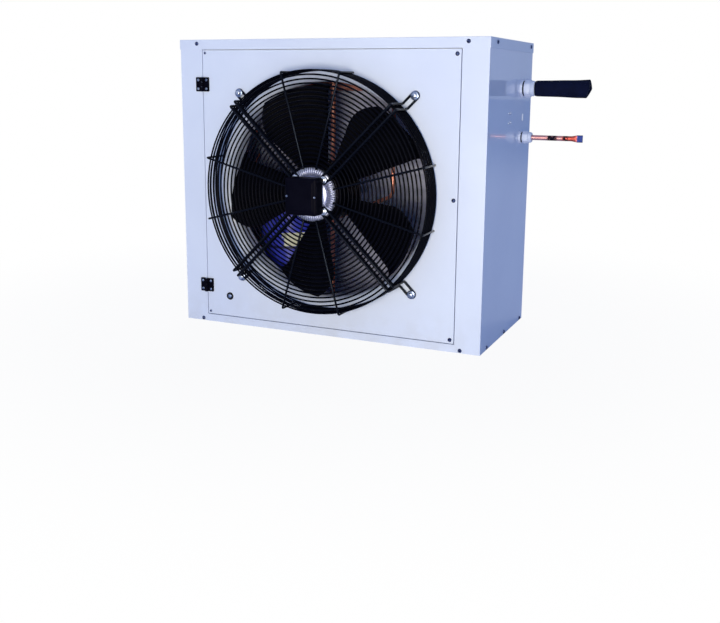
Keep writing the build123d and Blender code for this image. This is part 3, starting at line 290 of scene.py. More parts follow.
def white_nylon():
    """Bright natural nylon of the small press-in plug."""
    return mottled("white_nylon", (0.006, 2), (226, 232, 244), (242, 246, 252), (0.3, 0.12),
                   (0.001, 1, 0.00002), IOR=1.5)


def cast_aluminium():
    """Pressure-cast aluminium: grainy, brighter where it was faced."""
    f = Finish("cast_aluminium", Metallic=0.9)
    grain = f.spots(0.0025, 3, 0.6)
    faced = grain.within(0.3, 0.7)
    f.feed("Base Color", f.blend(shade(172, 178, 214), shade(226, 230, 250), faced))
    f.feed("Roughness", 0.34 + grain * 0.2)
    return f.relief(grain, 0.00008)


def fin_stock():
    """Thin aluminium fin sheet: satin, with soft vertical streaks and a few combed marks. Its shades
    are raised to a lavender near white, partly the metal's own brightness and partly painted light
    for the light the closed casing keeps from the coil.
    """
    # partly painted light: the fin shades are raised near white to stand in for light that cannot
    # reach the coil
    return mottled("fin_stock", (0.01, 2, 0.5, (1, 1, 12)), (218, 221, 246), (238, 240, 253),
                   (0.36, 0.18), (0.002, 1, 0.00003), Metallic=0.1)


def galvanised():
    """Hot-dip galvanised steel: flat spangles of differing grey."""
    f = Finish("galvanised", Metallic=0.8)
    spangle = f.node("TexVoronoi", {}, {"Vector": f.place, "Scale": 1 / 0.012}, "Color")
    tone = f.node("SeparateColor", {}, {0: spangle})
    f.feed("Base Color", f.blend(shade(150, 158, 178), shade(196, 202, 216), tone))
    f.feed("Roughness", 0.36 + tone * 0.16)
    return f.relief(f.spots(0.003, 2), 0.00004)


def compressor_enamel():
    """Deep blue enamel over the pressed shell: gloss, with orange peel, a darker weld seam, and a
    bare pale label on the side towards the fan."""
    f = Finish("compressor_enamel", IOR=1.5)
    low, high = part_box("compressor_upper_shell")
    middle = (low[0] + high[0]) / 2
    seam = (f.z - low[2]).size().within(0.006, 0.001)
    label = (f.x - (middle + 0.036)).size().within(0.025, 0.024)
    label = label * (f.z - (low[2] + 0.022)).size().within(0.018, 0.017)
    label = label * (f.y - (low[1] + high[1]) / 2).within(0.0, -0.01)
    clouds = f.spots(0.05, 3)
    paint = f.blend(shade(46, 56, 192), shade(78, 88, 236), clouds)
    paint = f.blend(paint, shade(16, 20, 78), seam)
    f.feed("Base Color", f.blend(paint, shade(236, 238, 214), label * 0.95))
    f.feed("Roughness", 0.22 + clouds * 0.14 + seam * 0.2 + label * 0.15)
    return f.relief(f.spots(0.004, 2), 0.0001)


def tank_enamel():
    """Black enamel on the welded liquid tank."""
    return mottled("tank_enamel", (0.03, 3), (8, 9, 14), (22, 23, 32), (0.24, 0.16),
                   (0.004, 2, 0.00008), IOR=1.5, Specular_IOR_Level=0.3)


def drier_enamel():
    """Pale gloss enamel on the filter shell."""
    return mottled("drier_enamel", (0.03, 3), (196, 200, 205), (216, 219, 222), (0.24, 0.12),
                   (0.003, 1, 0.00005), IOR=1.5)


def drawn_copper():
    """Drawn copper tube: warm, streaked along its length, dulled in clouds."""
    f = Finish("drawn_copper", Metallic=0.6)
    clouds = f.spots(0.018, 4, 0.6)
    bright = f.blend(shade(226, 128, 108), shade(252, 190, 170), f.spots(0.004, 3))
    f.feed("Base Color", f.blend(bright, shade(158, 80, 66), clouds.within(0.55, 0.8)))
    f.feed("Roughness", 0.24 + clouds * 0.22)
    return f.relief(f.spots(0.002, 2), 0.00005)


def brazed_copper():
    """Copper of the liquid stub: rosy, with soot in patches from the torch, an orange flush where
    the tube was heated and a blue-black pinch at its end."""
    f = Finish("brazed_copper", Metallic=0.9)
    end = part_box("liquid_line_upper")[1][0]

    def band(back, widest, narrowest):
        """1 round the place this far back from the end, and 0 beyond the widest reach."""
        return (f.x - (end - back)).size().within(widest, narrowest)

    clouds = f.spots(0.006, 3, 0.6)
    rosy = f.blend(shade(206, 132, 132), shade(246, 190, 186), f.spots(0.004, 2))
    far = band(0.072, 0.016, 0.008) * f.spots(0.008, 3, 0.6).within(0.40, 0.50)
    near = band(0.040, 0.009, 0.004) * f.spots(0.006, 3, 0.6).within(0.42, 0.52)
    soot = far.maths("MAXIMUM", near)
    pinch = f.x.within(end - 0.016, end - 0.012)
    copper = f.blend(rosy, shade(212, 70, 40), band(0.030, 0.024, 0.012) * 0.8)
    copper = f.blend(copper, shade(22, 16, 34), soot * (1 - pinch))
    f.feed("Base Color", f.blend(copper, shade(22, 34, 84), pinch))
    f.feed("Roughness", 0.24 + clouds * 0.2 + soot * 0.3)
    return f.relief(clouds, 0.0001)


def turned_brass():
    """Forged and turned brass."""
    return mottled("turned_brass", (0.008, 3), (176, 142, 82), (214, 184, 116), (0.26, 0.18),
                   (0.001, 1, 0.00004), Metallic=1.0)


def soft_rubber():
    """Black rubber with a slight bloom."""
    return mottled("soft_rubber", (0.015, 4, 0.6), (8, 8, 13), (22, 22, 30), (0.7, 0.15),
                   (0.0015, 2, 0.0001), IOR=1.5, Specular_IOR_Level=0.2)


def foam_lagging():
    """Closed-cell foam lagging: navy-black and matte, with tiny cells and soft dents."""
    f = Finish("foam_lagging", IOR=1.4, Specular_IOR_Level=0.12)
    cell = f.cells(0.0012)
    dents = f.spots(0.02, 3)
    f.feed("Base Color", f.blend(shade(4, 8, 28), shade(11, 18, 50), dents))
    f.feed("Roughness", 0.78 + dents * 0.12)
    return f.relief(cell * 0.5 + dents * 0.5, 0.0004)


# ------------------------------------------------------------------ surfaces
def piece(name, parts, finish, body, stands_for=(), smooth=True):
    """An object from (points, quads) parts, with repeated points merged and faces outwards."""
    points, quads, count = [], [], 0
    for part_points, part_quads in parts:
        points.append(np.asarray(part_points, float).reshape(-1, 3))
        quads.append(np.asarray(part_quads, int) + count)
        count += len(points[-1])
    mesh = bpy.data.meshes.new(name)
    mesh.from_pydata(np.concatenate(points), [], np.concatenate(quads).tolist())
    work = bmesh.new()
    work.from_mesh(mesh)
    bmesh.ops.remove_doubles(work, verts=work.verts, dist=2e-6)
    bmesh.ops.recalc_face_normals(work, faces=work.faces)
    work.to_mesh(mesh)
    work.free()
    mesh.polygons.foreach_set("use_smooth", [smooth] * len(mesh.polygons))
    mesh.materials.append(finish.material)
    made = bpy.data.objects.new(name, mesh)
    bpy.context.scene.collection.objects.link(made)
    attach(made, body)
    for node in stands_for:
        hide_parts(node)
    return made


def grid(rows, columns, round_rows=False, round_columns=False):
    """The quads of a rows x columns grid of points, joined end to end along either way if asked."""
    i = np.arange(rows if round_rows else rows - 1)[:, None]
    j = np.arange(columns if round_columns else columns - 1)[None, :]
    i2, j2 = (i + 1) % rows, (j + 1) % columns
    corners = [i * columns + j, i2 * columns + j, i2 * columns + j2, i * columns + j2]
    return np.stack(np.broadcast_arrays(*corners), -1).reshape(-1, 4)


def unit(vectors):
    """The same directions, one metre long."""
    return vectors / np.linalg.norm(vectors, axis=-1, keepdims=True)


def wire(path, radius, sides, aside, closed=False):
    """A round wire: path + radius * (cos v * N + sin v * B), where N is the part of the vector
    aside square to the path and B crosses it. Open ends are closed by a half-round cap."""
    path = np.asarray(path, float)
    radius = np.broadcast_to(np.asarray(radius, float), len(path))
    if closed:
        along = unit(np.roll(path, -1, 0) - np.roll(path, 1, 0))
    else:
        along = unit(np.gradient(path, axis=0))
        cap = np.linspace(0, math.pi / 2, 4)
        bulge, narrow = np.sin(cap)[:, None], np.cos(cap)
        start = path[0] - along[0] * (radius[0] * bulge[::-1])
        end = path[-1] + along[-1] * (radius[-1] * bulge)
        path = np.concatenate([start, path[1:-1], end])
        radius = np.concatenate([radius[0] * narrow[::-1], radius[1:-1], radius[-1] * narrow])
        first, last = (np.repeat(way, len(cap), 0) for way in (along[:1], along[-1:]))
        along = np.concatenate([first, along[1:-1], last])
    aside = np.broadcast_to(np.asarray(aside, float), path.shape)
    normal = unit(aside - (aside * along).sum(-1, keepdims=True) * along)
    across = np.cross(along, normal)
    v = np.linspace(0, TURN, sides, endpoint=False)
    ring = np.cos(v)[None, :, None] * normal[:, None] + np.sin(v)[None, :, None] * across[:, None]
    points = path[:, None] + radius[:, None, None] * ring
    return points, grid(len(path), sides, round_rows=closed, round_columns=True)


def bent(corners, bend, steps=6):
    """A path of straight runs whose inner corners are quarter-like arcs: each corner is replaced
    by a quadratic curve from bend before it to bend after it."""
    corners = np.asarray(corners, float)
    bend = np.broadcast_to(np.asarray(bend, float), len(corners))
    t = np.linspace(0, 1, steps)[:, None]
    run = [corners[:1]]
    for before, corner, after, cut in zip(corners, corners[1:], corners[2:], bend[1:]):
        first = corner + unit(before - corner) * cut
        last = corner + unit(after - corner) * cut
        run.append(first * (1 - t) ** 2 + corner * 2 * t * (1 - t) + last * t**2)
    run.append(corners[-1:])
    return np.concatenate(run)


def turned(profile, origin, axis, sides=48, start=(0, 0, 1)):
    """A turned form: each (radius, height) of the profile goes round the axis through origin."""
    profile = np.asarray(profile, float)
    axis = unit(np.asarray(axis, float))
    start = np.asarray(start, float)
    first = unit(start - (start @ axis) * axis)
    second = np.cross(axis, first)
    v = np.linspace(0, TURN, sides, endpoint=False)
    ring = np.cos(v)[:, None] * first + np.sin(v)[:, None] * second
    out, along = profile[:, 0, None, None], profile[:, 1, None, None]
    points = np.asarray(origin) + along * axis + out * ring
    return points, grid(len(profile), sides, round_columns=True)


def turned_mm(profile, origin, axis, sides, lift=0.0, ring=False, start=(0, 0, 1)):
    """A turned form whose profile is in millimetres, raised by lift metres; a ring's is closed."""
    profile = profile + profile[:1] if ring else profile
    return turned([(r * MM, lift + h * MM) for r, h in profile], origin, axis, sides, start)


def box_corners(box):
    """A box's two corners as arrays, and the middle between them."""
    low, high = (np.array(corner) for corner in box)
    return low, high, (low + high) / 2


def rounded(width, height, corner, steps=5):
    """The outline of a rounded rectangle about the origin, as (across, up) points."""
    quarter = np.linspace(0, math.pi / 2, steps)
    outline = []
    for number, (sx, sz) in enumerate(((1, 1), (-1, 1), (-1, -1), (1, -1))):
        angle = quarter + number * math.pi / 2
        middle = np.array([sx * (width / 2 - corner), sz * (height / 2 - corner)])
        outline.append(middle + corner * np.stack([np.cos(angle), np.sin(angle)], -1))
    return np.concatenate(outline)


def pad(width, height, corner, profile, origin):
    """A plate with worked edges that stands off the door: a rounded rectangle, drawn in by each
    (inset, height) of the profile; the first and last outlines are closed to their middles."""
    rings = []
    for inset, rise in profile:
        line = rounded(width - 2 * inset, height - 2 * inset, max(corner - inset, corner * 0.2))
        rings.append(np.insert(line, 1, -rise, axis=1))
    rings.insert(0, np.repeat(rings[0].mean(0, keepdims=True), len(rings[0]), 0))
    rings.append(np.repeat(rings[-1].mean(0, keepdims=True), len(rings[0]), 0))
    points = np.asarray(origin, float) + np.stack(rings)
    return points, grid(len(rings), points.shape[1], round_columns=True)


def off_door(radius, angle, outward):
    """Points at a distance from the fan's axis, an angle up from +X, and a height off the door."""
    radius, angle, outward = np.broadcast_arrays(radius, angle, outward)
    steps = [radius * np.cos(angle), -outward, radius * np.sin(angle)]
    return hub + np.stack(steps, -1)


# ------------------------------------------------------------------ measures taken from the solids
def round_hub(reach):
    """Four places round the fan's axis, each this far to a side and this far up or down."""
    return [hub + np.array([sx, 0, sz]) * reach for sx in (-1, 1) for sz in (-1, 1)]


side_low, side_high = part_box("guard_side_rings")
front_low, front_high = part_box("guard_front_rings")
ring_wire = (front_high[1] - front_low[1]) / 2
rim = (side_high[0] - side_low[0]) / 2 - ring_wire
face = hub[1] - (front_low[1] + front_high[1]) / 2
flange = face + ring_wire
first_ring = 66 * MM
spoke_wire = 2.5 * MM
arm_wire = 3 * MM
eye = 8 * MM
lug = 317.5 * MM
bolt_circle = 50.2 * MM
wire_bend = 5 * MM
bolt_places = round_hub(35.5 * MM)
lug_places = round_hub(224.5 * MM)

leaf_tall = 34 * MM
leaves_low, leaves_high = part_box("hinge_door_leaves")
leaf_middles = (leaves_low[2] + leaf_tall / 2, leaves_high[2] - leaf_tall / 2)

tube_rows = ((126 * MM, 21 * MM), (158 * MM, 40 * MM))
tube_step = 38 * MM
tubes_in_row = 17
tube_r = 4.75 * MM

panel_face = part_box("right_side_panel")[1][0]
pipe_y = 88.5 * MM
glands = (
    {"height": 591 * MM, "flats": 38.5 * MM, "reach": 35 * MM, "bore": 11.2 * MM},
    {"height": 475 * MM, "flats": 27 * MM, "reach": 31 * MM, "bore": 6.2 * MM},
)
rivet_places = [(panel_face, y * MM, z * MM) for y in (-14, 1) for z in (512.6, 534)]


# ------------------------------------------------------------------ guard
def along_arm(angle, points):
    """Points given by their distance from the fan's axis, offset across that radius and height."""
    radial = (math.cos(angle), 0, math.sin(angle))
    across = (-math.sin(angle), 0, math.cos(angle))
    return hub + np.asarray(points) @ np.array([radial, across, (0, -1, 0)])


def guard_rings():
    """The guard's rings: circles about the fan's axis, flat ones in front and a stack round the
    rim."""
    flat, stacked = 22, 6
    outermost = (front_high[0] - front_low[0]) / 2 - ring_wire
    radii = [*np.linspace(first_ring, outermost, flat), *[rim] * stacked]
    top, foot = hub[1] - side_low[1] - ring_wire, hub[1] - side_high[1] + ring_wire
    heights = [*[face] * flat, *np.linspace(top, foot, stacked)]
    round_about = np.linspace(0, TURN, 180, endpoint=False)
    return [
        wire(off_door(radius, round_about, height), ring_wire, 8, (0, 1, 0), closed=True)
        for radius, height in zip(radii, heights)
    ]


def spokes():
    """Eight wires that run out over the rings and turn down over the rim to the door."""
    crest = flange + spoke_wire
    reach = rim + ring_wire + spoke_wire
    aside = math.radians(15)
    start = first_ring - 2 * ring_wire
    line = bent([(start, 0, crest), (reach, 0, crest), (reach, 0, 0)], wire_bend)
    angles = [TURN / 4 * quarter + side * aside for quarter in range(4) for side in (-1, 1)]
    return [
        wire(along_arm(angle, line), spoke_wire, 10, (-math.sin(angle), 0, math.cos(angle)))
        for angle in angles
    ]


def arms():
    """Four arms, each a closed loop of wire: an eye round a motor bolt, two runs out over the
    rings and down the rim, and an eye round a lug bolt; a second pair of rods backs the rings
    behind each."""
    crest = flange + arm_wire
    reach = rim + ring_wire + arm_wire
    foot = arm_wire
    back = face - ring_wire - arm_wire
    rod_start = 59 * MM

    def quarter_eye(middle, height, start, end):
        """A quarter turn of an eye, from one angle to another."""
        turn = np.linspace(start, end, 7)[:, None]
        return np.hstack([middle + eye * np.cos(turn), eye * np.sin(turn), turn * 0 + height])

    inner = quarter_eye(bolt_circle, crest, math.pi, math.pi / 2)
    outer = quarter_eye(lug, foot, math.pi / 2, 0)
    run = bent([inner[-1], (reach, eye, crest), (reach, eye, foot), outer[0]], wire_bend)
    half = np.concatenate([inner, run[1:-1], outer])
    loop = np.concatenate([half, (half * (1, -1, 1))[-2:0:-1]])
    made = []
    for number in range(4):
        angle = math.radians(45 + 90 * number)
        across, up = math.cos(angle), math.sin(angle)
        aside = (across * 0.3 - up, -0.6, up * 0.3 + across)
        made.append(wire(along_arm(angle, loop), arm_wire, 10, aside, closed=True))
        for side in (-1, 1):
            steps = np.linspace(rod_start, rim - ring_wire, 4)
            rod = [(step, side * eye, back) for step in steps]
            made.append(wire(along_arm(angle, rod), arm_wire, 8, aside))
    return made


# ------------------------------------------------------------------ blades and motor
def fan_blades():
    """Five blades. At each radius a section runs from its trailing to its leading angle; the
    leading corner is drawn in at the tip and the trailing one reaches out. Its height off the
    door goes straight from the trailing edge's depth to the leading edge's, plus a parabola for
    the bow, and the thickness fades to nothing round the edge."""
    blades = 5
    sleeve_r, tip_r = 68 * MM, 249 * MM
    out = np.linspace(0, 1, 29)[:, None]
    across = np.linspace(0, 1, 33)[None, :]
    radius = sleeve_r + out * (tip_r - sleeve_r)
    nose = np.clip((out - 0.58) / 0.42, 0, 1) ** 2
    heel = np.clip((out - 0.86) / 0.14, 0, 1) ** 2.2
    lead = np.radians(64.3 + 2.6 * out - 13.5 * nose)
    trail = np.radians(21.0 - 3 * heel)
    spread = trail + across * (lead - trail)
    bow = 0.20 * radius * (lead - trail) * across * (1 - across)
    height = (-30 - 18 * out + across * (48 + 24 * out)) * MM + bow
    edge = (1 - (2 * across - 1) ** 12) ** 0.5 * (1 - np.abs(2 * out - 1) ** 24) ** 0.5
    thick = 1.3 * MM * edge
    made = []
    for number in range(blades):
        angle = number * TURN / blades + spread
        front = off_door(radius, angle, height + thick)
        rear = off_door(radius, angle, height - thick)
        section = np.concatenate([front, rear[:, -2:0:-1]], axis=1)
        made.append((section, grid(*section.shape[:2], round_columns=True)))
    return made


def collar():
    """The sleeve that the blades are welded to, a turned ring round the rotor."""
    low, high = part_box("rotor")
    front, back = (hub[1] - low[1]) / MM, (hub[1] - high[1]) / MM
    band = [(66.1, back), (69.1, back), (69.1, front - 1), (68.1, front), (66.6, front),
            (66.1, front - 1)]
    return turned_mm(band, hub, OFF_DOOR, 72, ring=True)


def motor_casting():
    """The motor's fixed half: a turned body, a crown of thin radial fins round a smooth ring, and a
    round boss under each bolt; a fin is a box whose faces lie along the radius."""
    body = [(9, -112), (54, -112), (54, -15), (47, -14), (42, -8), (41, -1.5), (39.5, 0), (22, 0),
            (22, 12), (0, 12)]
    boss = [(0, -13.9), (11.2, -13.9), (11.2, -0.6), (10.6, 0), (3.1, 0), (3.1, -10), (0, -10)]
    made = [turned_mm(body, hub, OFF_DOOR, 72, lift=flange)]
    made += [turned_mm(boss, place, OFF_DOOR, 32, lift=flange) for place in bolt_places]

    fin_count, half = 66, 0.85 * MM
    outline = np.array([(39, -0.6), (60, -0.6), (62, -3), (62, -12.8), (59, -14), (39, -14)]) * MM
    sides = [np.insert(outline + (0, flange), 1, aside, axis=1) for aside in (-half, half)]
    cheeks = [(0, 1, 4, 5), (1, 2, 3, 4), (11, 10, 7, 6), (10, 9, 8, 7)]
    quads = np.vstack([grid(2, len(outline), round_columns=True), cheeks])
    angles = np.arange(fin_count) * TURN / fin_count
    return made + [(along_arm(angle, np.concatenate(sides)), quads) for angle in angles]


def motor_bolt_heads():
    """Bolts through the arms' eyes: a washer, a crowned head and a shank."""
    crown = 4 * MM
    seat = hub[1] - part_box("motor_bolts")[0][1] - crown
    washer = [(0, -0.4), (8.4, -0.4), (8.6, 0), (8.4, 0.6), (5.2, 0.8), (0, 0.8)]
    dome = [(0, 0.7), (5.6, 0.7), (5.8, 2.4), (4.9, 3.4), (3.0, 3.9), (0, 4.0)]
    shank = [(0, -18), (2.8, -18), (2.8, 0), (0, 0)]
    return [
        turned_mm(profile, place, OFF_DOOR, sides, lift=seat)
        for place in bolt_places
        for profile, sides in ((washer, 28), (dome, 24), (shank, 16))
    ]


def terminal_cover():
    """The motor box's lid: a plate with a bevelled edge and a raised middle."""
    low, high, middle = box_corners(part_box("motor_terminal_cover"))
    width, thick, height = high - low
    base = (middle[0], high[1], middle[2])
    step = thick * 0.78
    profile = [(0, 0), (0, thick * 0.5), (1.4 * MM, step), (8.4 * MM, step), (9 * MM, step),
               (10.2 * MM, thick), (11.2 * MM, thick)]
    return [pad(width, height, 5 * MM, profile, base)]


def terminal_screws():
    """A small crowned screw at each side of the motor box's lid."""
    low, high, middle = box_corners(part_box("motor_terminal_cover"))
    inset = 4.2 * MM
    head = [(0, 2), (2.4, 2), (2.5, 5), (1.9, 5.7), (0.9, 5.85), (0.6, 4.6), (0, 4.6)]
    return [
        turned_mm(head, (x, high[1], middle[2]), OFF_DOOR, 16)
        for x in (low[0] + inset, high[0] - inset)
    ]


def plug_ring():
    """The blind plug's soft rim, a turned lip pressed against the door."""
    x, _, z = box_corners(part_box("blind_plug"))[2]
    lip = [(6.7, -2), (6.7, 0), (9.4, 0), (9.6, 0.8), (9.0, 2.0), (7.4, 2.4), (6.2, 1.8),
           (6.0, 0.2), (6.0, -2)]
    return [turned_mm(lip, (x, hub[1], z), OFF_DOOR, 40, ring=True)]


def plug_dome():
    """The blind plug's bright cap, a low dome on a short stem."""
    x, _, z = box_corners(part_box("blind_plug"))[2]
    dome = [(5.9 * math.cos(t), 1.0 + 3.0 * math.sin(t)) for t in np.linspace(0, math.pi / 2, 8)]
    return [turned_mm([(0, -4.5), (5.9, -4.5), *dome], (x, hub[1], z), OFF_DOOR, 36)]


def lug_washers():
    """A dished washer over each lug's eye: flat in the middle and turned down at its rim."""
    dish = [(3.1, 6.1), (9.2, 6.1), (10, 6.0), (10.1, 6.4), (9.2, 7.2), (6, 7.7), (3.1, 7.7)]
    return [turned_mm(dish, place, OFF_DOOR, 36, ring=True) for place in lug_places]


def lug_bolts():
    """A crowned bolt head on each lug's washer, and its shank through the door."""
    head = [(0, -7), (2.9, -7), (2.9, 7.65), (5.2, 7.65), (5.4, 9.6), (4.6, 11.0), (2.8, 11.6),
            (0, 11.7)]
    return [turned_mm(head, place, OFF_DOOR, 28) for place in lug_places]


# ------------------------------------------------------------------ hinges
def leaf_span(side):
    """A leaf's outer and inner end along X; side is -1 for the casing's leaf and 1 for the
    door's."""
    clearance = 0.4 * MM
    pin = joints["door_hinge"]["pos_m"]
    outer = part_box("hinge_frame_leaves")[0][0] if side < 0 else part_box("hinge_door_leaves")[1][0]
    return outer, pin[0] + side * clearance


def hinge_leaves(side):
    """One leaf at each hinge: a plate with a bevelled, raised border, and its knuckles on the
    pin, each with a web to the leaf. The casing's leaf has the middle knuckle, the door's the
    outer two."""
    pin = joints["door_hinge"]["pos_m"]
    outer, inner = leaf_span(side)
    border = [(0, 0), (0, 3.6), (0.9, 4.5), (2.0, 4.5), (2.6, 3.7), (3.4, 3.7)]
    knuckle = [(2.05, -5.4), (4.4, -5.4), (5.0, -4.8), (5.0, 4.8), (4.4, 5.4), (2.05, 5.4)]
    made = []
    for middle in leaf_middles:
        plate = [(inset * MM, rise * MM) for inset, rise in border]
        place = ((outer + inner) / 2, hub[1], middle)
        made.append(pad(abs(outer - inner), leaf_tall, 1.8 * MM, plate, place))
        for level in (0,) if side < 0 else (-1, 1):
            z = middle + level * leaf_tall / 3
            on_pin, web = (pin[0], pin[1], z), (pin[0] + side * 3.6 * MM, hub[1], z)
            made.append(turned_mm(knuckle, on_pin, (0, 0, 1), 28, ring=True, start=(1, 0, 0)))
            made.append(pad(5.4 * MM, 10.8 * MM, 0.5 * MM, [(0, 0), (0, 4.2 * MM)], web))
    return made


def hinge_screws(side):
    """The two screw heads on each leaf, one above the other and a little away from the pin."""
    outer, inner = leaf_span(side)
    x = (outer + inner) / 2 + side * 2.2 * MM
    apart = 10.5 * MM
    head = [(0, 3.5), (3.4, 3.5), (3.2, 4.6), (1.8, 5.2), (0, 5.3)]
    return [
        turned_mm(head, (x, hub[1], middle + up), OFF_DOOR, 20)
        for middle in leaf_middles
        for up in (-apart, apart)
    ]


# ------------------------------------------------------------------ coil
def fins():
    """The coil's fins: thin sheets side by side, each a shallow zigzag from front to back."""
    low, high, _ = box_corners(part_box("coil_fin_pack"))
    count = 228
    depth = np.linspace(low[1], high[1], 9)
    wave = np.tile((-0.45, 0.45), 5)[:9] * MM
    half = 0.14 * MM
    outline = np.concatenate([
        np.stack([wave - half, depth], -1), np.stack([wave[::-1] + half, depth[::-1]], -1),
    ])
    line = np.repeat(outline[None], 2, axis=0)
    level = np.array([low[2], high[2]])[:, None, None].repeat(len(outline), axis=1)
    sheet = np.concatenate([line, level], axis=2).reshape(-1, 3)
    across = np.linspace(low[0] + MM, high[0] - MM, count)
    points = sheet[None] + np.stack([across, across * 0, across * 0], -1)[:, None]
    ends = [(i, i + 1, 16 - i, 17 - i) for i in range(8)]
    quads = np.vstack([grid(2, 18, round_columns=True), ends, np.array(ends)[:, ::-1] + 18])
    starts = np.arange(count)[:, None, None] * len(sheet)
    return [(points.reshape(-1, 3), (quads[None] + starts).reshape(-1, 4))]


def fin_collars():
    """The fins' collars, which close the gaps a little way in: a sheet behind each face of the pack
    whose depth ripples across the tube rows as a shallow sine."""
    low, high, _ = box_corners(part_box("coil_fin_pack"))
    set_back = 5 * MM
    z = np.linspace(low[2] + MM, high[2] - MM, 181)[:, None]
    x = np.linspace(low[0] + MM, high[0] - MM, 3)[None, :]
    swell = 0.8 * MM * np.cos(TURN * (z - tube_rows[1][1]) / tube_step)
    made = []
    for y, side in ((low[1] + set_back, 1), (high[1] - set_back, -1)):
        front = np.stack(np.broadcast_arrays(x, y - side * swell, z), -1)
        rear = np.stack(np.broadcast_arrays(x, y + side * (2 * MM - swell), z), -1)
        loop = np.concatenate([front, rear[:, ::-1]], axis=1)
        ends = [np.repeat(loop[i : i + 1].mean(1, keepdims=True), 6, 1) for i in (0, -1)]
        rings = np.concatenate([ends[0], loop, ends[1]])
        made.append((rings, grid(len(rings), 6, round_columns=True)))
    return made


def coil_tubes():
    """The copper tubes that run through the fins, in two staggered rows."""
    low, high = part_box("coil_fin_pack")
    long = high[0] - low[0]
    profile = [(0, 0), (tube_r, 0), (tube_r, long), (0, long)]
    return [
        turned(profile, (low[0], y, start + tube_step * number), (1, 0, 0), 12)
        for y, start in tube_rows
        for number in range(tubes_in_row)
    ]


# ------------------------------------------------------------------ pipes on the side panel
def lagging():
    """Foam round the suction pipe: a sleeve whose radius swells gently towards its free end and
    has low lumps. Its end is two flat cuts that meet in a ridge: the reach drops with the height
    above the ridge by a tenth and below it by almost a half. The inner wall lies on the pipe."""
    low, high, middle = box_corners(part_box("suction_insulation"))
    start, ridge = low[0], high[0]
    bore = 11.15 * MM
    sides = 48
    along = np.linspace(0, 1, 41)[:, None]
    v = np.linspace(0, TURN, sides, endpoint=False)[None, :]
    lumps = 0.22 * np.sin(3 * v + 9 * along) + 0.16 * np.sin(5 * v - 13 * along + 1)
    drawn_in = np.clip((0.03 - along) / 0.03, 0, 1)
    outer = (18.6 + 2.9 * along**1.5 + lumps - drawn_in) * MM

    def ring(radius, share):
        """The sleeve's section of this radius, at a share of the way to the cut end."""
        z = radius * np.sin(v)
        cut = 0.10 * np.maximum(z, 0) + 0.45 * np.maximum(-z, 0)
        x = start + share * (ridge - cut - start)
        y = middle[1] + radius * np.cos(v)
        return np.stack(np.broadcast_arrays(x, y, middle[2] + z), -1)

    wall = ring((outer[-1:] + bore) / 2, along[-1:])
    inside = ring(bore + 0 * v, np.linspace(1, 0, 12)[:, None])
    rings = np.concatenate([ring(outer, along), wall, inside])
    return [(rings, grid(len(rings), sides, round_rows=True, round_columns=True))]


def hexagonal(gland, profile, cornered=True):
    """A form round a gland's pipe, closed by its bore. Each (limit, reach) of the profile is a
    share of half the flats and of the gland's length; the radius is that of the hexagon with
    these flats, or the limit where that is less, which cuts the corners round. Uncornered, the
    limit alone holds."""
    sides = 72
    limit, reach = np.array([(0, profile[0][1]), *profile, (0, profile[-1][1])]).T[:, :, None]
    v = np.linspace(0, TURN, sides, endpoint=False)[None]
    half = gland["flats"] / 2
    six = half / np.cos((v + TURN / 12) % (TURN / 6) - TURN / 12) if cornered else np.inf
    radius = np.maximum(np.minimum(six, limit * half + 0 * v), gland["bore"])
    x = panel_face + reach * gland["reach"] + 0 * v
    points = np.stack([x, pipe_y + radius * np.cos(v), gland["height"] + radius * np.sin(v)], -1)
    return points, grid(len(limit), sides, round_rows=True, round_columns=True)


def gland_shells():
    """Each gland's hexagon body on the panel, and its nut with trimmed corners and a collar."""
    body = [(1.06, 0), (1.12, 0.02), (1.12, 0.15), (1.05, 0.18)]
    nut = [(1.02, 0.29), (1.12, 0.33), (1.12, 0.66), (1.02, 0.71), (0.95, 0.72), (0.94, 0.88),
           (0.86, 0.96), (0.76, 1)]
    return [hexagonal(gland, form) for gland in glands for form in (body, nut)]


def gland_rings():
    """The dark ring between each gland's body and nut."""
    ring = [(0.90, 0.17), (0.93, 0.23), (0.90, 0.30)]
    return [hexagonal(gland, ring, cornered=False) for gland in glands]


def side_rivets():
    """Domed rivets that hold the switch bracket to the side panel."""
    dome = [(0, 0), (3.2, 0), (3.1, 0.7), (2.3, 1.4), (1.2, 1.75), (0, 1.85)]
    return [turned_mm(dome, place, (1, 0, 0), 20) for place in rivet_places]


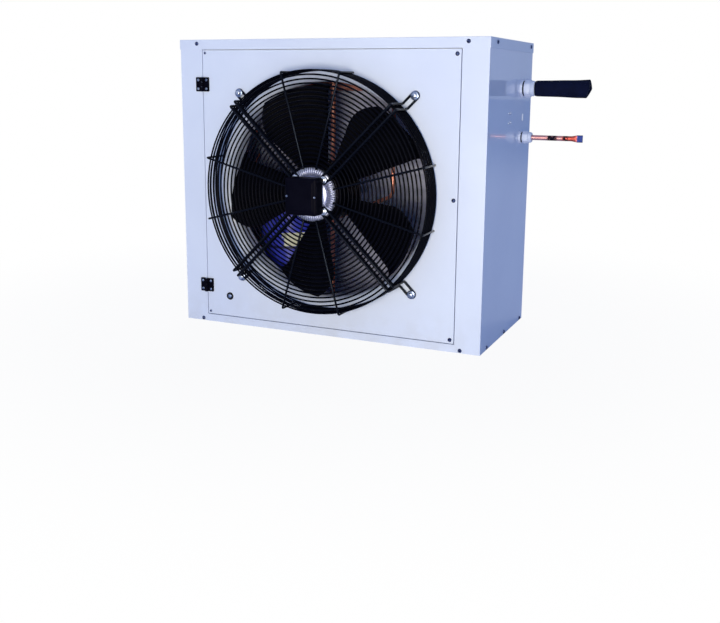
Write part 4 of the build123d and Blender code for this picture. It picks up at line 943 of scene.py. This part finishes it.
# ------------------------------------------------------------------ finishes on the pieces
finish = {
    "paint": powder_coat(), "lined": lined_coat(), "strip": seal_foam(), "zinc": zinc_plate(),
    "bright": bright_steel(), "screw": dark_zinc(), "wire": dipped_wire(), "gloss": gloss_wire(),
    "blade": blade_coat(), "black": moulded_black(), "grey": moulded_grey(), "nylon": white_nylon(),
    "cast": cast_aluminium(), "fins": fin_stock(), "galvanised": galvanised(),
    "blue": compressor_enamel(), "tank": tank_enamel(), "drier": drier_enamel(),
    "copper": drawn_copper(), "brazed": brazed_copper(), "brass": turned_brass(),
    "rubber": soft_rubber(), "foam": foam_lagging(),
}
finish_of = {
    "paint": "base_pan front_frame left_side_panel roof_panel door_panel",
    # the right side panel's inner face carries painted shade
    "lined": "right_side_panel",
    "strip": "door_seal",
    "screw": "roof_screws base_screws door_screws door_rivets",
    "zinc": "panel_rivets blind_plug guard_washers guard_bolts compressor_bolts hinge_pins",
    "bright": "motor_bolts",
    "wire": "guard_front_rings guard_side_rings guard_spokes guard_arms",
    "blade": "impeller rotor",
    "black": "hinge_frame_leaves hinge_door_leaves motor_terminal_box motor_terminal_cover",
    "grey": "gland_bodies gland_nuts gland_locknuts electrical_box electrical_cover",
    "nylon": "side_plug",
    "rubber": "gland_seals compressor_grommets",
    "foam": "suction_insulation",
    "fins": "coil_fin_pack",
    "cast": "motor_stator",
    "galvanised": "coil_end_plates compressor_foot_plate receiver_saddles pressure_switch_bracket "
                  "pressure_switch compressor_core",
    "blue": "compressor_lower_shell compressor_upper_shell compressor_terminal_cover",
    "tank": "receiver",
    "copper": "coil_return_bends suction_line discharge_line drop_line liquid_line_lower",
    "brazed": "liquid_line_upper",
    "brass": "receiver_valve sight_glass",
    "drier": "filter_drier",
}
for name, members in finish_of.items():
    for member in members.split():
        mesh = nodes[member].data
        mesh.materials.clear()
        mesh.materials.append(finish[name].material)

piece("guard_ring_wires", guard_rings(), finish["wire"], "door",
      ["guard_front_rings", "guard_side_rings"])
piece("guard_spoke_wires", spokes(), finish["gloss"], "door", ["guard_spokes"])
piece("guard_arm_wires", arms(), finish["gloss"], "door", ["guard_arms"])
piece("fan_blades", fan_blades() + [collar()], finish["blade"], "fan", ["impeller"])
piece("motor_casting", motor_casting(), finish["cast"], "door", ["motor_stator"])
piece("motor_bolt_heads", motor_bolt_heads(), finish["bright"], "door",
      ["motor_bolts"])
piece("motor_box_lid", terminal_cover(), finish["black"], "door",
      ["motor_terminal_cover"])
piece("motor_box_screws", terminal_screws(), finish["zinc"], "door")
piece("blind_plug_rim", plug_ring(), finish["rubber"], "door", ["blind_plug"])
piece("blind_plug_cap", plug_dome(), finish["zinc"], "door")
piece("casing_hinge_halves", hinge_leaves(-1), finish["black"], "casing",
      ["hinge_frame_leaves"])
piece("casing_hinge_screws", hinge_screws(-1), finish["zinc"], "casing")
piece("door_hinge_halves", hinge_leaves(1), finish["black"], "door",
      ["hinge_door_leaves"])
piece("door_hinge_screws", hinge_screws(1), finish["zinc"], "door")
piece("coil_fins", fins(), finish["fins"], "casing", ["coil_fin_pack"],
      smooth=False)
piece("coil_collars", fin_collars(), finish["fins"], "casing", smooth=False)
piece("coil_tubes", coil_tubes(), finish["copper"], "casing")
piece("gland_shells", gland_shells(), finish["grey"], "casing",
      ["gland_bodies", "gland_nuts"])
piece("gland_rings", gland_rings(), finish["rubber"], "casing")
piece("switch_rivets", side_rivets(), finish["bright"], "casing", ["panel_rivets"])
piece("lug_washers", lug_washers(), finish["zinc"], "door", ["guard_washers"])
piece("lug_bolts", lug_bolts(), finish["bright"], "door", ["guard_bolts"])
piece("pipe_lagging", lagging(), finish["foam"], "casing", ["suction_insulation"])


# ------------------------------------------------------------------ floor, light and camera
def floor_finish():
    """A pale floor: seen directly it is mostly its own white, and the rest carries the shadow; the
    share of its own white grows with distance until the floor and the backdrop are one."""
    near, far = 0.45, 1.5
    white_near, white_far = 0.94, 1.0
    made = bpy.data.materials.new("pale_floor")
    made.use_nodes = True
    made.node_tree.nodes.clear()
    node = partial(add_node, made.node_tree)
    path = node("LightPath", {}, {})
    place = node("TexCoord", {}, {}).outputs["Object"]
    away = node("VectorMath", {"operation": "LENGTH"}, {0: place}).outputs["Value"]
    smooth = {"interpolation_type": "SMOOTHSTEP"}
    share = node("MapRange", smooth, {0: away, 1: near, 2: far, 3: white_near, 4: white_far})
    seen = {0: share.outputs[0], 1: path.outputs["Is Camera Ray"]}
    seen = node("Math", {"operation": "MULTIPLY"}, seen)
    matte = node("BsdfDiffuse", {}, {"Color": (0.56, 0.60, 0.72, 1)})
    white = node("Emission", {}, {"Strength": 1.0})
    mixed = node("MixShader", {}, {0: seen.outputs[0], 1: matte.outputs[0], 2: white.outputs[0]})
    node("OutputMaterial", {}, {0: mixed.outputs[0]})
    return made


def backdrop():
    """White where it is looked at, a third as bright where it is mirrored, and a cool plain
    fill."""
    mirrored_share = 0.35
    world = bpy.data.worlds.new("studio")
    bpy.context.scene.world = world
    world.use_nodes = True
    world.node_tree.nodes.clear()
    node = partial(add_node, world.node_tree)
    rays = node("LightPath", {}, {}).outputs
    larger, times = {"operation": "MAXIMUM"}, {"operation": "MULTIPLY"}
    mirrored = node("Math", times, {0: rays["Is Glossy Ray"], 1: mirrored_share})
    seen = node("Math", larger, {0: rays["Is Camera Ray"], 1: rays["Is Transmission Ray"]})
    share = node("Math", larger, {0: seen.outputs[0], 1: mirrored.outputs[0]})
    fill = node("Background", {}, {"Color": (0.35, 0.55, 1.0, 1), "Strength": 0.54})
    white = node("Background", {}, {"Color": (1, 1, 1, 1), "Strength": 1.0})
    mixed = node("MixShader", {}, {0: share.outputs[0], 1: fill.outputs[0], 2: white.outputs[0]})
    node("OutputWorld", {}, {0: mixed.outputs[0]})


def lamp(name, place, aim, size, power, colour, mirrored=True):
    """A square soft lamp that looks at a point; gloss shows it where it is mirrored."""
    data = bpy.data.lights.new(name, "AREA")
    data.size = size
    data.energy = power
    data.color = colour
    made = bpy.data.objects.new(name, data)
    made.visible_glossy = mirrored
    made.location = place
    made.rotation_euler = (Vector(aim) - Vector(place)).to_track_quat("-Z", "Y").to_euler()
    bpy.context.scene.collection.objects.link(made)


floor_half = 30
floor_signs = ((-1, -1), (1, -1), (1, 1), (-1, 1))
floor_corners = [(sx * floor_half, sy * floor_half, 0) for sx, sy in floor_signs]
floor_mesh = bpy.data.meshes.new("floor")
floor_mesh.from_pydata(floor_corners, [], [(0, 1, 2, 3)])
floor_mesh.materials.append(floor_finish())
floor = bpy.data.objects.new("floor", floor_mesh)
bpy.context.scene.collection.objects.link(floor)
backdrop()
lamp("key", (0.62, -2.6, 0.36), (0, 0, 0.33), 0.8, 56, (1.0, 0.915, 0.72))
lamp("rear_fill", (-2.0, 4.2, 1.8), (0, 0, 0.35), 2.5, 190, (1.0, 0.93, 0.78), mirrored=False)

# the camera stands to the right and a little above, turned slightly about its own line of sight
azimuth, elevation, roll = (math.radians(angle) for angle in (23.884, 11.085, 0.474))
unit_height = 0.7
camera_place = Vector((1.348, -3.011, 0.865)) * unit_height
level = math.cos(elevation)
back = Vector((math.sin(azimuth) * level, -math.cos(azimuth) * level, math.sin(elevation)))
right = (-back).cross(Vector((0, 0, 1))).normalized()
up = right.cross(-back)
camera_x = right * math.cos(roll) + up * math.sin(roll)
camera_y = up * math.cos(roll) - right * math.sin(roll)
turning = Matrix((camera_x, camera_y, back)).transposed().to_4x4()
camera_data = bpy.data.cameras.new("camera")
camera_data.sensor_width = 36
camera_data.lens = 45.72
camera_data.shift_y = -0.0715
camera = bpy.data.objects.new("camera", camera_data)
camera.matrix_world = Matrix.Translation(camera_place) @ turning
bpy.context.scene.collection.objects.link(camera)
bpy.context.scene.camera = camera
bpy.context.scene.view_settings.view_transform = "Standard"
